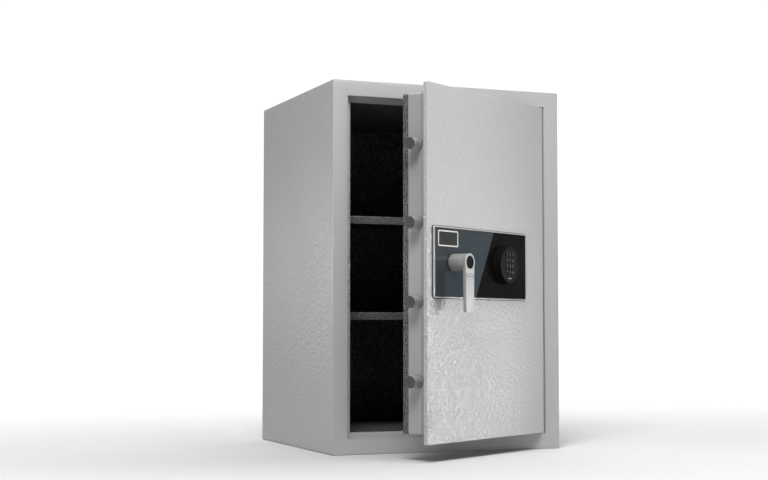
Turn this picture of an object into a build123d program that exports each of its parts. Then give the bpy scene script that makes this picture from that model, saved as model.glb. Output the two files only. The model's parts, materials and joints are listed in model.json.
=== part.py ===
from build123d import *
import os
from math import atan, cos, pi, radians, sin, sqrt, tan

# Fire-lined safe with a hinged door, sliding locking bolts, a lever handle and a keypad lock.
# Millimetres, +Z up, +Y to the back, origin at the centre of the base.
# A depth is measured inwards from the cabinet's front face, so what stands proud of the door is negative.
# Door pieces are drawn with the door shut and then swung to the resting angle.

# Cabinet
WIDTH = 540.0
DEPTH = 500.0
HEIGHT = 800.0
SHELL_T = 3.0
LINER_T = 2.0
WALL = 46.0
REAR_WALL = 46.0
CORNER_R = 3.0
FACE_EDGE_R = 1.2

# Front frame, with its rebate and door stop
FRAME_FACE = 34.0
FRAME_T = 3.0
STOP_DEPTH = 18.0
CHANNEL_DEPTH = 35.0
CHANNEL_T = 2.0
STRIKE_T = 3.0
STRIKE_POCKET = 28.0
HINGE_POCKET = 16.0
STRIKE_CLEAR = 1.0

# Anchor holes through the base
ANCHOR_R = 7.0
ANCHOR_SPACING_X = 300.0
ANCHOR_SPACING_Y = 280.0

# Shelves
SHELF_TOPS = (303.0, 515.0)
SHELF_SETBACK = 95.0
SHELF_T = 2.0
SHELF_LIP = 17.0
SHELF_BEND_R = 2.5
SHELF_SIDE_GAP = 1.5
SHELF_BACK_GAP = 2.0
CLIP_WIDTH = 20.0
CLIP_REACH = 14.0
CLIP_DROP = 16.0
CLIP_T = 2.0
CLIP_INSET = 45.0

# Door leaf
DOOR_GAP = 1.5
PLATE_T = 8.0
NOSE_R = 8.0
FREE_CORNER_R = 3.5
PLATE_EDGE_R = 1.0
DOOR_ANGLE = 32.4
PAN_INSET_X = 20.5
PAN_INSET_Z = 18.0
PAN_DEPTH = 52.0
PAN_T = 3.0
PAN_CORNER_R = 4.0
PAN_FLANGE = 15.0
SEAL_T = 2.0
SEAL_WIDTH = 20.0
SEAL_CLEAR = 1.5
COVER_DEPTH = 14.0
COVER_T = 2.0
COVER_EDGE_R = 2.5
COVER_SCREW_ROWS = 4
COVER_SCREW_R = 2.5
COVER_HEAD_R = 4.5
COVER_HEAD_H = 2.4
DEAD_BAR_REACH = 16.0
DEAD_BAR_DEPTH = 16.0
DEAD_BAR_GAP = 2.0
DEAD_BAR_INSET = 75.0
DEAD_BAR_CHAMFER = 2.0

# Hinge
PIN_R = 4.0
PIN_GRIP = 24.0
BUSH_T = 2.0
BUSH_LENGTH = 30.0
RUNNING = 0.05
HINGE_BLOCK_HALF = 10.0
HINGE_BLOCK_DEPTH = 15.0
HINGE_BLOCK_H = 25.0
WASHER_R = 7.0
WASHER_CLEAR = 0.2

# Boltwork
BOLT_COUNT = 4
BOLT_END_INSET = 106.5
BOLT_R = 12.5
BOLT_REACH = 30.0
BOLT_LENGTH = 84.0
BOLT_DEPTH = 36.0
BOLT_CHAMFER = 1.8
BOLT_FLAT = 11.0
BOLT_HOLE_CLEAR = 0.5
BOLT_SCREW_R = 2.5
BOLT_SCREW_HEAD_R = 4.2
BOLT_SCREW_HEAD_H = 2.5
BOLT_SCREW_SPACING = 18.0
RAIL_T = 3.0
RAIL_GAP = 7.0
RAIL_FOOT = 20.0
RAIL_BACK_GAP = 4.0
CARRIAGE_T = 5.0
CARRIAGE_WIDTH = 60.0
CARRIAGE_GAP = 3.0
CARRIAGE_INSET = 21.5
TONGUE_H = 16.0
POST_R = 5.0
POST_HEAD_R = 9.0
POST_HEAD_H = 2.5
POST_PLAY = 0.3
SLOT_CLEAR = 0.5
POST_INSET = 46.0
POST_END_INSET = 46.5

# Pinion and rack
MODULE = 2.0
PINION_TEETH = 16
PRESSURE_ANGLE = 20.0
ADDENDUM = 0.9 * MODULE
DEDENDUM = 1.25 * MODULE
BACKLASH = 0.3
GEAR_FRONT = 30.0
GEAR_WIDTH = 10.0
RACK_BACK_H = 10.5
RACK_OVERRUN = 13.0
HANDLE_TURN = 90.0

# Handle
HANDLE_INSET = 84.5
HANDLE_RISE = 1.0
SPINDLE_R = 6.0
SPINDLE_END = 46.0
SPINDLE_BUSH_T = 3.0
SPINDLE_FLANGE = 3.0
SPINDLE_FLANGE_T = 2.0
CLIP_RING_R = 9.0
CLIP_RING_T = 1.5
BARREL_R = 18.3
HANDLE_REACH = 48.0
LEVER_T = 7.5
LEVER_LENGTH = 101.0
LEVER_ROOT_WIDTH = 32.5
LEVER_TIP_WIDTH = 28.5
LEVER_TIP_R = 3.0
LEVER_EDGE = 0.9
LEVER_GROOVES = (23.5, 28.5)
GROOVE = 0.9
CAP_R = 12.6
CAP_RECESS = 1.6
CAP_PROUD = 0.4
HANDLE_GAP = 0.3
GRUB_R = 3.0

# Fascia on the door's face
FASCIA_INSET = 17.5
FASCIA_WIDTH = 365.0
FASCIA_HEIGHT = 148.0
FASCIA_T = 5.0
FASCIA_RIM = 4.5
FASCIA_CORNER_R = 6.0
FASCIA_BEVEL = 1.6
PANEL_T = 4.0
PANEL_CLEAR = 0.2

# Keypad
KEYPAD_INSET = 99.0
KEYPAD_RISE = 3.0
KEYPAD_BASE_R = 42.0
KEYPAD_FRONT_R = 39.0
KEYPAD_H = 18.0
KEYPAD_EDGE_R = 2.5
KEYPAD_WALL = 3.0
KEYPAD_FOOT = 3.5
FACE_R = 34.5
FACE_T = 2.5
FACE_RECESS = 0.6
LEDGE = 1.5
KEY_PITCH_X = 11.5
KEY_PITCH_Z = 12.6
KEY_ROWS_UP = 2.5
KEY_WIDTH = 8.8
KEY_HEIGHT = 9.4
KEY_CORNER_R = 2.4
KEY_PROUD = 1.2
KEY_EDGE = 0.4
KEY_CLEAR = 0.3
KEY_FLANGE = 0.8
KEY_FLANGE_T = 1.2
KEY_TRAVEL = 1.1
BOARD_T = 1.6
BOARD_CLEAR = 0.2
KEY_NAMES = (
    ("1", "2", "3"),
    ("4", "5", "6"),
    ("7", "8", "9"),
    ("star", "0", "hash"),
)

# Lock behind the keypad
HARD_PLATE_T = 6.0
HARD_PLATE_GAP = 4.0
HARD_PLATE_MARGIN = 8.0
HARD_PLATE_HEIGHT = 144.0
LOCK_WIDTH = 82.0
LOCK_HEIGHT = 60.0
LOCK_DEPTH = 32.0
LOCK_LID_T = 2.0
LOCK_POCKET_DEPTH = 16.0
SWING_INSET = 10.0
SWING_DROP = 8.0
SWING_HUB_R = 8.0
SWING_TIP_R = 4.0
SWING_PIN_R = 4.0
SWING_SIDE_GAP = 2.0
SWING_CLEAR = 2.5
PUSH_GAP = 1.0
PUSH_H = 8.0
PUSH_LIFT = 14.0
PUSH_LENGTH = 30.0
PUSH_RISER = 10.0
LOCK_SCREW_R = 2.5
LOCK_SCREW_HEAD_R = 4.5
LOCK_SCREW_HEAD_H = 2.5
LOCK_SCREW_INSET = 7.0
CABLE_R = 3.0
CABLE_HOLE_R = 3.8
BATTERY_WIDTH = 26.0
BATTERY_HEIGHT = 50.0
BATTERY_DEPTH = 18.0
BATTERY_GAP = 6.0

# How far a cutting tool runs past a wall
CUT_PAST = 1.0

# Places that follow from the sizes above
FRONT = -DEPTH / 2
SIDE = WIDTH / 2
MIDDLE_Z = HEIGHT / 2
OPEN_X = SIDE - FRAME_FACE
OPEN_LOW = FRAME_FACE
OPEN_HIGH = HEIGHT - FRAME_FACE
CAVITY_X = SIDE - WALL
CAVITY_LOW = WALL
CAVITY_HIGH = HEIGHT - WALL
CAVITY_BACK = DEPTH - REAR_WALL
STOP_BACK = STOP_DEPTH + FRAME_T
CHANNEL_BACK = STOP_BACK + CHANNEL_DEPTH
DOOR_X = OPEN_X - DOOR_GAP
DOOR_LOW = OPEN_LOW + DOOR_GAP
DOOR_HIGH = OPEN_HIGH - DOOR_GAP
HINGE_X = DOOR_X - NOSE_R
HINGE_DEPTH = NOSE_R
PAN_X = DOOR_X - PAN_INSET_X
PAN_LOW = DOOR_LOW + PAN_INSET_Z
PAN_HIGH = DOOR_HIGH - PAN_INSET_Z
PAN_BACK = PLATE_T + PAN_DEPTH
COVER_BACK = PAN_BACK + COVER_DEPTH
HANDLE_X = -DOOR_X + HANDLE_INSET
HANDLE_Z = MIDDLE_Z + HANDLE_RISE
FASCIA_LEFT = -DOOR_X + FASCIA_INSET
KEYPAD_X = FASCIA_LEFT + FASCIA_WIDTH - KEYPAD_INSET
KEYPAD_Z = MIDDLE_Z + KEYPAD_RISE
FASCIA_Z = HANDLE_Z
BUSH_R = PIN_R + RUNNING + BUSH_T
BOLT_PITCH = (PAN_HIGH - PAN_LOW - 2 * BOLT_END_INSET) / (BOLT_COUNT - 1)
BOLT_ZS = [PAN_LOW + BOLT_END_INSET + i * BOLT_PITCH for i in range(BOLT_COUNT)]
BOLT_END = -PAN_X - BOLT_REACH
FLAT_DEPTH = BOLT_DEPTH + BOLT_FLAT
RAIL_X = -PAN_X + PAN_T + RAIL_GAP
CARRIAGE_LEFT = RAIL_X + RAIL_T + CARRIAGE_GAP
CARRIAGE_RIGHT = CARRIAGE_LEFT + CARRIAGE_WIDTH
CARRIAGE_BACK = FLAT_DEPTH + CARRIAGE_T
POST_X = CARRIAGE_LEFT + POST_INSET
POST_ZS = (
    PAN_LOW + POST_END_INSET,
    BOLT_ZS[0] + BOLT_PITCH / 2,
    BOLT_ZS[-1] - BOLT_PITCH / 2,
    PAN_HIGH - POST_END_INSET,
)
PITCH_R = MODULE * PINION_TEETH / 2
BOLT_TRAVEL = PITCH_R * radians(HANDLE_TURN)
PITCH_Z = HANDLE_Z + PITCH_R
RACK_TOP = PITCH_Z + DEDENDUM + RACK_BACK_H
PANEL_FRONT = -PANEL_T
KEYPAD_FRONT = PANEL_FRONT - KEYPAD_H
FACE_FRONT = KEYPAD_FRONT + FACE_RECESS
FACE_BACK = FACE_FRONT + FACE_T
KEY_BACK = FACE_BACK + KEY_CLEAR + KEY_FLANGE_T
BOARD_FRONT = KEY_BACK + KEY_TRAVEL + KEY_CLEAR
HARD_BACK = PLATE_T + HARD_PLATE_T
HARD_PLATE_LEFT = RAIL_X + RAIL_FOOT + HARD_PLATE_GAP
LOCK_LEFT = KEYPAD_X - LOCK_WIDTH / 2
LOCK_BACK = HARD_BACK + LOCK_DEPTH
BATTERY_LEFT = LOCK_LEFT + LOCK_WIDTH + BATTERY_GAP
BATTERY_RIGHT = BATTERY_LEFT + BATTERY_WIDTH
POCKET_BACK = LOCK_BACK - LOCK_LID_T
POCKET_FRONT = POCKET_BACK - LOCK_POCKET_DEPTH
SWING_X = LOCK_LEFT + SWING_INSET
SWING_Z = KEYPAD_Z - SWING_DROP
SWING_R = BOLT_TRAVEL / (2 * sin(radians(HANDLE_TURN / 2)))
PUSH_END = SWING_X - BOLT_TRAVEL / 2 - SWING_TIP_R - PUSH_GAP
PUSH_LEFT = PUSH_END - PUSH_LENGTH
PUSH_Z = SWING_Z + PUSH_LIFT + PUSH_H / 2
HINGE_AXIS = Axis((HINGE_X, FRONT + HINGE_DEPTH, 0), (0, 0, 1))


def block(x, depth, z):
    """A box from pairs of limits, across, inwards and up."""
    size = [b - a for a, b in (x, depth, z)]
    middle = [(a + b) / 2 for a, b in (x, depth, z)]
    return Pos(middle[0], FRONT + middle[1], middle[2]) * Box(*size)


def rod_in(x, z, radius, depth):
    """A round bar that runs inwards between two depths."""
    length = depth[1] - depth[0]
    place = Pos(x, FRONT + (depth[0] + depth[1]) / 2, z) * Rot(90, 0, 0)
    return place * Cylinder(radius, length)


def rod_across(depth, z, radius, x):
    """A round bar that runs across between two sides."""
    place = Pos((x[0] + x[1]) / 2, FRONT + depth, z) * Rot(0, 90, 0)
    return place * Cylinder(radius, x[1] - x[0])


def rod_up(x, depth, radius, z):
    """A round bar that stands between two heights."""
    return Pos(x, FRONT + depth, (z[0] + z[1]) / 2) * Cylinder(radius, z[1] - z[0])


def outline(x, z, radius=0.0):
    """A rectangle in the front view, with its corners rounded alike."""
    shape = Pos((x[0] + x[1]) / 2, (z[0] + z[1]) / 2) * Rectangle(x[1] - x[0], z[1] - z[0])
    if radius > 0:
        shape = fillet(shape.vertices(), radius)
    return shape


def leaf_outline():
    """The door's front view: small corners at the free edge, the nose's radius at the hinge."""
    shape = outline((-DOOR_X, DOOR_X), (DOOR_LOW, DOOR_HIGH))
    shape = fillet(shape.vertices().filter_by(lambda corner: corner.X > 0), NOSE_R)
    free = shape.vertices().filter_by(lambda corner: corner.X < 0)
    return fillet(free, FREE_CORNER_R)


def prism(shape, depth):
    """A front-view outline carried inwards between two depths."""
    start = Plane.XZ.offset(-(FRONT + depth[0]))
    return extrude(start * shape, amount=-(depth[1] - depth[0]))


def turned(points, x, z):
    """A piece turned about an inward axis, from its profile of (radius, depth) points."""
    corners = [(radius, FRONT + depth) for radius, depth in points]
    section = make_face(Polyline(*corners, close=True))
    return Pos(x, 0, z) * revolve(section, Axis.Y)


def swing(shape):
    """Opens a piece of the closed door to the resting angle."""
    return shape.rotate(HINGE_AXIS, DOOR_ANGLE)


def group(shapes):
    """Several separate solids in one sub-part."""
    return Compound(children=list(shapes))


# Cabinet


def anchor_holes(z):
    x = ANCHOR_SPACING_X / 2
    y = ANCHOR_SPACING_Y / 2
    spots = [(sx * x, sy * y) for sx in (-1, 1) for sy in (-1, 1)]
    return [rod_up(px, py - FRONT, ANCHOR_R, z) for px, py in spots]


def outer_shell():
    shell = prism(outline((-SIDE, SIDE), (0, HEIGHT), CORNER_R), (0, DEPTH - SHELL_T))
    shell = fillet(shell.faces().sort_by(Axis.Y)[0].edges(), FACE_EDGE_R)
    inside = (-SIDE + SHELL_T, SIDE - SHELL_T), (SHELL_T, HEIGHT - SHELL_T)
    shell -= prism(outline(*inside), (0, DEPTH - SHELL_T))
    return shell - anchor_holes((0, SHELL_T))


def rear_panel():
    return prism(outline((-SIDE, SIDE), (0, HEIGHT), CORNER_R), (DEPTH - SHELL_T, DEPTH))


def opening(grow):
    return outline((-OPEN_X - grow, OPEN_X + grow), (OPEN_LOW - grow, OPEN_HIGH + grow))


def front_frame():
    inside = (-SIDE + SHELL_T, SIDE - SHELL_T), (SHELL_T, HEIGHT - SHELL_T)
    frame = prism(outline(*inside), (0, FRAME_T))
    frame += prism(opening(FRAME_T), (0, STOP_BACK))
    frame -= prism(opening(0), (0, STOP_DEPTH))
    frame -= prism(outline((-CAVITY_X, CAVITY_X), (CAVITY_LOW, CAVITY_HIGH)), (0, STOP_BACK))
    return frame - hinge_pin_rods()


def strike_channel():
    left = -CAVITY_X - STRIKE_POCKET
    z = (CAVITY_LOW, CAVITY_HIGH)
    channel = block((left, -CAVITY_X), (STOP_BACK, CHANNEL_BACK), z)
    hollow = (left + CHANNEL_T, -CAVITY_X - STRIKE_T)
    channel -= block(hollow, (STOP_BACK + CHANNEL_T, CHANNEL_BACK - CHANNEL_T), z)
    holes = [
        rod_across(BOLT_DEPTH, bolt_z, BOLT_R + STRIKE_CLEAR, (hollow[1] - CUT_PAST, -CAVITY_X + CUT_PAST))
        for bolt_z in BOLT_ZS
    ]
    return channel - holes


def hinge_channel():
    right = CAVITY_X + HINGE_POCKET
    z = (CAVITY_LOW, CAVITY_HIGH)
    channel = block((CAVITY_X, right), (STOP_BACK, CHANNEL_BACK), z)
    return channel - block(
        (CAVITY_X, right - CHANNEL_T), (STOP_BACK + CHANNEL_T, CHANNEL_BACK - CHANNEL_T), z
    )


def inner_liner():
    outer_x = CAVITY_X + LINER_T
    outer_z = (CAVITY_LOW - LINER_T, CAVITY_HIGH + LINER_T)
    liner = block((-outer_x, outer_x), (STOP_BACK, CAVITY_BACK + LINER_T), outer_z)
    cavity_z = (CAVITY_LOW, CAVITY_HIGH)
    liner -= block((-CAVITY_X, CAVITY_X), (STOP_BACK, CAVITY_BACK), cavity_z)
    liner -= block((-outer_x, outer_x), (STOP_BACK, CHANNEL_BACK), cavity_z)
    return liner - anchor_holes((CAVITY_LOW - LINER_T, CAVITY_LOW))


def barrier_fill():
    x = SIDE - SHELL_T
    fill = block((-x, x), (FRAME_T, DEPTH - SHELL_T), (SHELL_T, HEIGHT - SHELL_T))
    fill -= prism(opening(FRAME_T), (0, STOP_BACK))
    liner_x = CAVITY_X + LINER_T
    liner_z = (CAVITY_LOW - LINER_T, CAVITY_HIGH + LINER_T)
    fill -= block((-liner_x, liner_x), (STOP_BACK, CAVITY_BACK + LINER_T), liner_z)
    channel_x = (-CAVITY_X - STRIKE_POCKET, CAVITY_X + HINGE_POCKET)
    fill -= block(channel_x, (STOP_BACK, CHANNEL_BACK), (CAVITY_LOW, CAVITY_HIGH))
    fill -= hinge_block_solids()
    return fill - anchor_holes((SHELL_T, CAVITY_LOW))


def shelf(top):
    """Folded sheet with a lip at the front and one at the back."""
    x = CAVITY_X - SHELF_SIDE_GAP
    depth = (SHELF_SETBACK, CAVITY_BACK - SHELF_BACK_GAP)
    tray = block((-x, x), depth, (top - SHELF_LIP, top))
    folds = tray.edges().filter_by(Axis.X).group_by(Axis.Z)[-1]
    tray = fillet(folds, SHELF_BEND_R)
    hollow = (depth[0] + SHELF_T, depth[1] - SHELF_T)
    inside = block((-x, x), hollow, (top - SHELF_LIP, top - SHELF_T))
    folds = inside.edges().filter_by(Axis.X).group_by(Axis.Z)[-1]
    return tray - fillet(folds, SHELF_BEND_R - SHELF_T)


def shelf_clips():
    clips = []
    for top in SHELF_TOPS:
        z = top - SHELF_T
        for start in (SHELF_SETBACK + CLIP_INSET, CAVITY_BACK - CLIP_INSET - CLIP_WIDTH):
            depth = (start, start + CLIP_WIDTH)
            for side in (-1, 1):
                wall = sorted((side * CAVITY_X, side * (CAVITY_X - CLIP_T)))
                reach = sorted((side * CAVITY_X, side * (CAVITY_X - CLIP_REACH)))
                clip = block(wall, depth, (z - CLIP_DROP, z))
                clips.append(clip + block(reach, depth, (z - CLIP_T, z)))
    return group(clips)


# Hinge


def hinge_pin_rods():
    low = (OPEN_LOW - PIN_GRIP, OPEN_LOW + PIN_GRIP)
    high = (OPEN_HIGH - PIN_GRIP, OPEN_HIGH + PIN_GRIP)
    return [rod_up(HINGE_X, HINGE_DEPTH, PIN_R, z) for z in (low, high)]


def hinge_block_solids():
    x = (HINGE_X - HINGE_BLOCK_HALF, HINGE_X + HINGE_BLOCK_HALF)
    depth = (FRAME_T, FRAME_T + HINGE_BLOCK_DEPTH)
    low = (OPEN_LOW - FRAME_T - HINGE_BLOCK_H, OPEN_LOW - FRAME_T)
    high = (OPEN_HIGH + FRAME_T, OPEN_HIGH + FRAME_T + HINGE_BLOCK_H)
    return [block(x, depth, z) for z in (low, high)]


def hinge_blocks():
    return group(solid - hinge_pin_rods() for solid in hinge_block_solids())


def hinge_pins():
    return group(hinge_pin_rods())


def thrust_washer():
    z = (OPEN_LOW, DOOR_LOW)
    washer = rod_up(HINGE_X, HINGE_DEPTH, WASHER_R, z)
    return washer - rod_up(HINGE_X, HINGE_DEPTH, PIN_R + WASHER_CLEAR, z)


def bush_heights():
    return (DOOR_LOW, DOOR_LOW + BUSH_LENGTH), (DOOR_HIGH - BUSH_LENGTH, DOOR_HIGH)


def hinge_bushes():
    sleeves = []
    for z in bush_heights():
        sleeve = rod_up(HINGE_X, HINGE_DEPTH, BUSH_R, z)
        sleeve -= rod_up(HINGE_X, HINGE_DEPTH, PIN_R + RUNNING, z)
        sleeves.append(sleeve & prism(leaf_outline(), (0, 2 * NOSE_R)))
    return group(sleeves)


def hinge_stile():
    z = (DOOR_LOW, DOOR_HIGH)
    bar = rod_up(HINGE_X, HINGE_DEPTH, NOSE_R, z)
    bar -= block((HINGE_X - 2 * NOSE_R, HINGE_X), (0, PLATE_T), z)
    bar &= prism(leaf_outline(), (0, 2 * NOSE_R))
    return bar - [rod_up(HINGE_X, HINGE_DEPTH, BUSH_R, height) for height in bush_heights()]


# Door leaf


def door_plate():
    plate = prism(leaf_outline(), (0, PLATE_T))
    plate &= block((-DOOR_X, HINGE_X), (0, PLATE_T), (DOOR_LOW, DOOR_HIGH))
    front = plate.faces().sort_by(Axis.Y)[0].edges()
    plate = fillet(front.sort_by(Axis.X)[:-1], PLATE_EDGE_R)
    plate -= [rod_up(HINGE_X, HINGE_DEPTH, BUSH_R, height) for height in bush_heights()]
    plate -= rod_in(HANDLE_X, HANDLE_Z, SPINDLE_R + SPINDLE_BUSH_T, (0, PLATE_T))
    return plate - rod_in(KEYPAD_X, KEYPAD_Z, CABLE_HOLE_R, (0, PLATE_T))


def pan_outline(inset, corner):
    return outline((-PAN_X + inset, PAN_X - inset), (PAN_LOW + inset, PAN_HIGH - inset), corner)


def door_pan():
    pan = prism(pan_outline(0, PAN_CORNER_R), (PLATE_T, PAN_BACK))
    pan -= prism(pan_outline(PAN_T, PAN_CORNER_R - PAN_T), (PLATE_T, PAN_BACK - PAN_T))
    pan -= prism(pan_outline(PAN_FLANGE, 0), (PAN_BACK - PAN_T, PAN_BACK))
    wall = (-PAN_X - CUT_PAST, -PAN_X + PAN_T + CUT_PAST)
    pan -= [rod_across(BOLT_DEPTH, z, BOLT_R + BOLT_HOLE_CLEAR, wall) for z in BOLT_ZS]
    return pan - cover_screw_rods(COVER_SCREW_R, (PAN_BACK - PAN_T, PAN_BACK))


def door_seal():
    depth = (PLATE_T, PLATE_T + SEAL_WIDTH)
    seal = prism(pan_outline(-SEAL_T, PAN_CORNER_R + SEAL_T), depth)
    seal -= prism(pan_outline(0, PAN_CORNER_R), depth)
    strip = (-PAN_X - SEAL_T, -PAN_X)
    return seal - [rod_across(BOLT_DEPTH, z, BOLT_R + SEAL_CLEAR, strip) for z in BOLT_ZS]


def door_back_cover():
    cover = prism(pan_outline(0, PAN_CORNER_R), (PAN_BACK, COVER_BACK))
    cover = fillet(cover.faces().sort_by(Axis.Y)[-1].edges(), COVER_EDGE_R)
    cover -= prism(pan_outline(COVER_T, PAN_CORNER_R - COVER_T), (PAN_BACK, COVER_BACK - COVER_T))
    return cover - cover_screw_rods(COVER_SCREW_R, (COVER_BACK - COVER_T, COVER_BACK))


def cover_screw_rods(radius, depth):
    across = PAN_X - (PAN_T + PAN_FLANGE) / 2
    low = PAN_LOW + (PAN_T + PAN_FLANGE) / 2
    high = PAN_HIGH - (PAN_T + PAN_FLANGE) / 2
    step = (high - low) / (COVER_SCREW_ROWS - 1)
    heights = [low + i * step for i in range(COVER_SCREW_ROWS)]
    return [rod_in(side * across, z, radius, depth) for side in (-1, 1) for z in heights]


def cover_screws():
    shanks = cover_screw_rods(COVER_SCREW_R, (PAN_BACK - PAN_T, COVER_BACK))
    heads = cover_screw_rods(COVER_HEAD_R, (COVER_BACK, COVER_BACK + COVER_HEAD_H))
    domed = [fillet(head.edges().sort_by(Axis.Y)[-1], COVER_HEAD_H / 2) for head in heads]
    return group(shank + head for shank, head in zip(shanks, domed))


def dead_bar():
    start = PLATE_T + SEAL_WIDTH + DEAD_BAR_GAP
    z = (PAN_LOW + DEAD_BAR_INSET, PAN_HIGH - DEAD_BAR_INSET)
    bar = block((PAN_X, PAN_X + DEAD_BAR_REACH), (start, start + DEAD_BAR_DEPTH), z)
    outer = bar.edges().filter_by(Axis.Z).group_by(Axis.X)[-1]
    return chamfer(outer, DEAD_BAR_CHAMFER)


def hard_plate_limits():
    x = (HARD_PLATE_LEFT, BATTERY_RIGHT + HARD_PLATE_MARGIN)
    return x, (FASCIA_Z - HARD_PLATE_HEIGHT / 2, FASCIA_Z + HARD_PLATE_HEIGHT / 2)


def hard_plate():
    x, z = hard_plate_limits()
    plate = prism(outline(x, z, CORNER_R), (PLATE_T, HARD_BACK))
    plate -= rod_in(HANDLE_X, HANDLE_Z, SPINDLE_R + SPINDLE_BUSH_T, (PLATE_T, HARD_BACK))
    return plate - rod_in(KEYPAD_X, KEYPAD_Z, CABLE_HOLE_R, (PLATE_T, HARD_BACK))


# Boltwork


def bolt_guide_rail():
    back = PAN_BACK - RAIL_BACK_GAP
    z = (PAN_LOW + PAN_T + CARRIAGE_GAP, PAN_HIGH - PAN_T - CARRIAGE_GAP)
    rail = block((RAIL_X, RAIL_X + RAIL_T), (PLATE_T, back), z)
    rail += block((RAIL_X, RAIL_X + RAIL_FOOT), (PLATE_T, PLATE_T + RAIL_T), z)
    across = (RAIL_X - CUT_PAST, RAIL_X + RAIL_T + CUT_PAST)
    return rail - [rod_across(BOLT_DEPTH, y, BOLT_R + BOLT_HOLE_CLEAR, across) for y in BOLT_ZS]


def locking_bolt(z):
    bolt = rod_across(BOLT_DEPTH, z, BOLT_R, (BOLT_END, BOLT_END + BOLT_LENGTH))
    bolt = chamfer(bolt.edges().sort_by(Axis.X)[0], BOLT_CHAMFER)
    flat = (CARRIAGE_LEFT, BOLT_END + BOLT_LENGTH)
    return bolt - block(flat, (FLAT_DEPTH, BOLT_DEPTH + BOLT_R), (z - BOLT_R, z + BOLT_R))


def locking_bolts():
    return group(locking_bolt(z) - bolt_screw_rods(z) for z in BOLT_ZS)


def bolt_screw_places():
    middle = (CARRIAGE_LEFT + BOLT_END + BOLT_LENGTH) / 2
    return middle - BOLT_SCREW_SPACING / 2, middle + BOLT_SCREW_SPACING / 2


def bolt_screw_rods(z):
    depth = (BOLT_DEPTH, CARRIAGE_BACK)
    return [rod_in(x, z, BOLT_SCREW_R, depth) for x in bolt_screw_places()]


def bolt_screws():
    screws = []
    for z in BOLT_ZS:
        for x, shank in zip(bolt_screw_places(), bolt_screw_rods(z)):
            head = (CARRIAGE_BACK, CARRIAGE_BACK + BOLT_SCREW_HEAD_H)
            screws.append(shank + rod_in(x, z, BOLT_SCREW_HEAD_R, head))
    return group(screws)


def bolt_carriage():
    depth = (FLAT_DEPTH, CARRIAGE_BACK)
    x = (CARRIAGE_LEFT, CARRIAGE_RIGHT)
    carriage = block(x, depth, (PAN_LOW + CARRIAGE_INSET, PAN_HIGH - CARRIAGE_INSET))
    tongue = (CARRIAGE_RIGHT, PUSH_LEFT + PUSH_RISER)
    carriage += block(tongue, depth, (PUSH_Z - TONGUE_H / 2, PUSH_Z + TONGUE_H / 2))
    half = POST_R + SLOT_CLEAR
    for z in POST_ZS:
        place = Pos(POST_X - BOLT_TRAVEL / 2, z)
        carriage -= prism(place * SlotCenterToCenter(BOLT_TRAVEL, 2 * half), depth)
    for z in BOLT_ZS:
        carriage -= bolt_screw_rods(z)
    return carriage


def carriage_posts():
    posts = []
    for z in POST_ZS:
        neck = CARRIAGE_BACK + POST_PLAY
        post = rod_in(POST_X, z, POST_R, (PLATE_T, neck))
        posts.append(post + rod_in(POST_X, z, POST_HEAD_R, (neck, neck + POST_HEAD_H)))
    return group(posts)


def bolt_rack():
    """Straight teeth that point down at the pinion, on a bar that bolts to the carriage."""
    x = (HANDLE_X - BOLT_TRAVEL - RACK_OVERRUN, HANDLE_X + RACK_OVERRUN)
    depth = (GEAR_FRONT, GEAR_FRONT + GEAR_WIDTH)
    z = (PITCH_Z + DEDENDUM, RACK_TOP)
    rack = block(x, depth, z) + block(x, (depth[1], FLAT_DEPTH), z)
    pitch = pi * MODULE
    slope = tan(radians(PRESSURE_ANGLE))
    half = pitch / 4 - BACKLASH / 4
    root = half + DEDENDUM * slope
    tip = half - ADDENDUM * slope
    corners = [(-root, DEDENDUM), (-tip, -ADDENDUM), (tip, -ADDENDUM), (root, DEDENDUM)]
    tooth = make_face(Polyline(*corners, close=True))
    first = int((x[0] - HANDLE_X) / pitch) - 1
    last = int(RACK_OVERRUN / pitch) + 1
    for i in range(first, last):
        middle = HANDLE_X + (i + 0.5) * pitch
        if x[0] + root < middle < x[1] - root:
            rack += prism(Pos(middle, PITCH_Z) * tooth, depth)
    return rack


def pinion_tooth():
    """One involute tooth that points up, drawn about the pinion's centre."""
    base = PITCH_R * cos(radians(PRESSURE_ANGLE))
    outer = PITCH_R + ADDENDUM
    root = PITCH_R - DEDENDUM
    involute = tan(radians(PRESSURE_ANGLE)) - radians(PRESSURE_ANGLE)
    half = pi / (2 * PINION_TEETH) + involute - BACKLASH / (4 * PITCH_R)
    furthest = sqrt((outer / base) ** 2 - 1)
    flank = []
    for step in range(5):
        roll = furthest * step / 4
        reach = base * sqrt(1 + roll**2)
        turn = half - (roll - atan(roll))
        flank.append((reach * sin(turn), reach * cos(turn)))
    left = [(-px, py) for px, py in flank]
    foot = ((root - 1) * sin(half), (root - 1) * cos(half))
    edges = [
        Spline(*flank),
        RadiusArc(flank[-1], left[-1], -outer),
        Spline(*left),
        Line(left[0], (-foot[0], foot[1])),
        Line((-foot[0], foot[1]), foot),
        Line(foot, flank[0]),
    ]
    return make_face(edges)


def drive_pinion():
    gear = Circle(PITCH_R - DEDENDUM)
    tooth = pinion_tooth()
    for i in range(PINION_TEETH):
        gear += Rot(0, 0, i * 360 / PINION_TEETH) * tooth
    depth = (GEAR_FRONT, GEAR_FRONT + GEAR_WIDTH)
    wheel = prism(Pos(HANDLE_X, HANDLE_Z) * gear, depth)
    return wheel - rod_in(HANDLE_X, HANDLE_Z, SPINDLE_R, depth)


def lock_push_arm():
    """Cranked finger on the carriage's tongue that pushes the lock's swinging bolt."""
    z = (PUSH_Z - PUSH_H / 2, PUSH_Z + PUSH_H / 2)
    finger = (POCKET_FRONT + SWING_SIDE_GAP, POCKET_BACK - SWING_SIDE_GAP)
    arm = block((PUSH_LEFT, PUSH_END), finger, z)
    return arm + block((PUSH_LEFT, PUSH_LEFT + PUSH_RISER), (finger[0], FLAT_DEPTH), z)


# Lock


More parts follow.
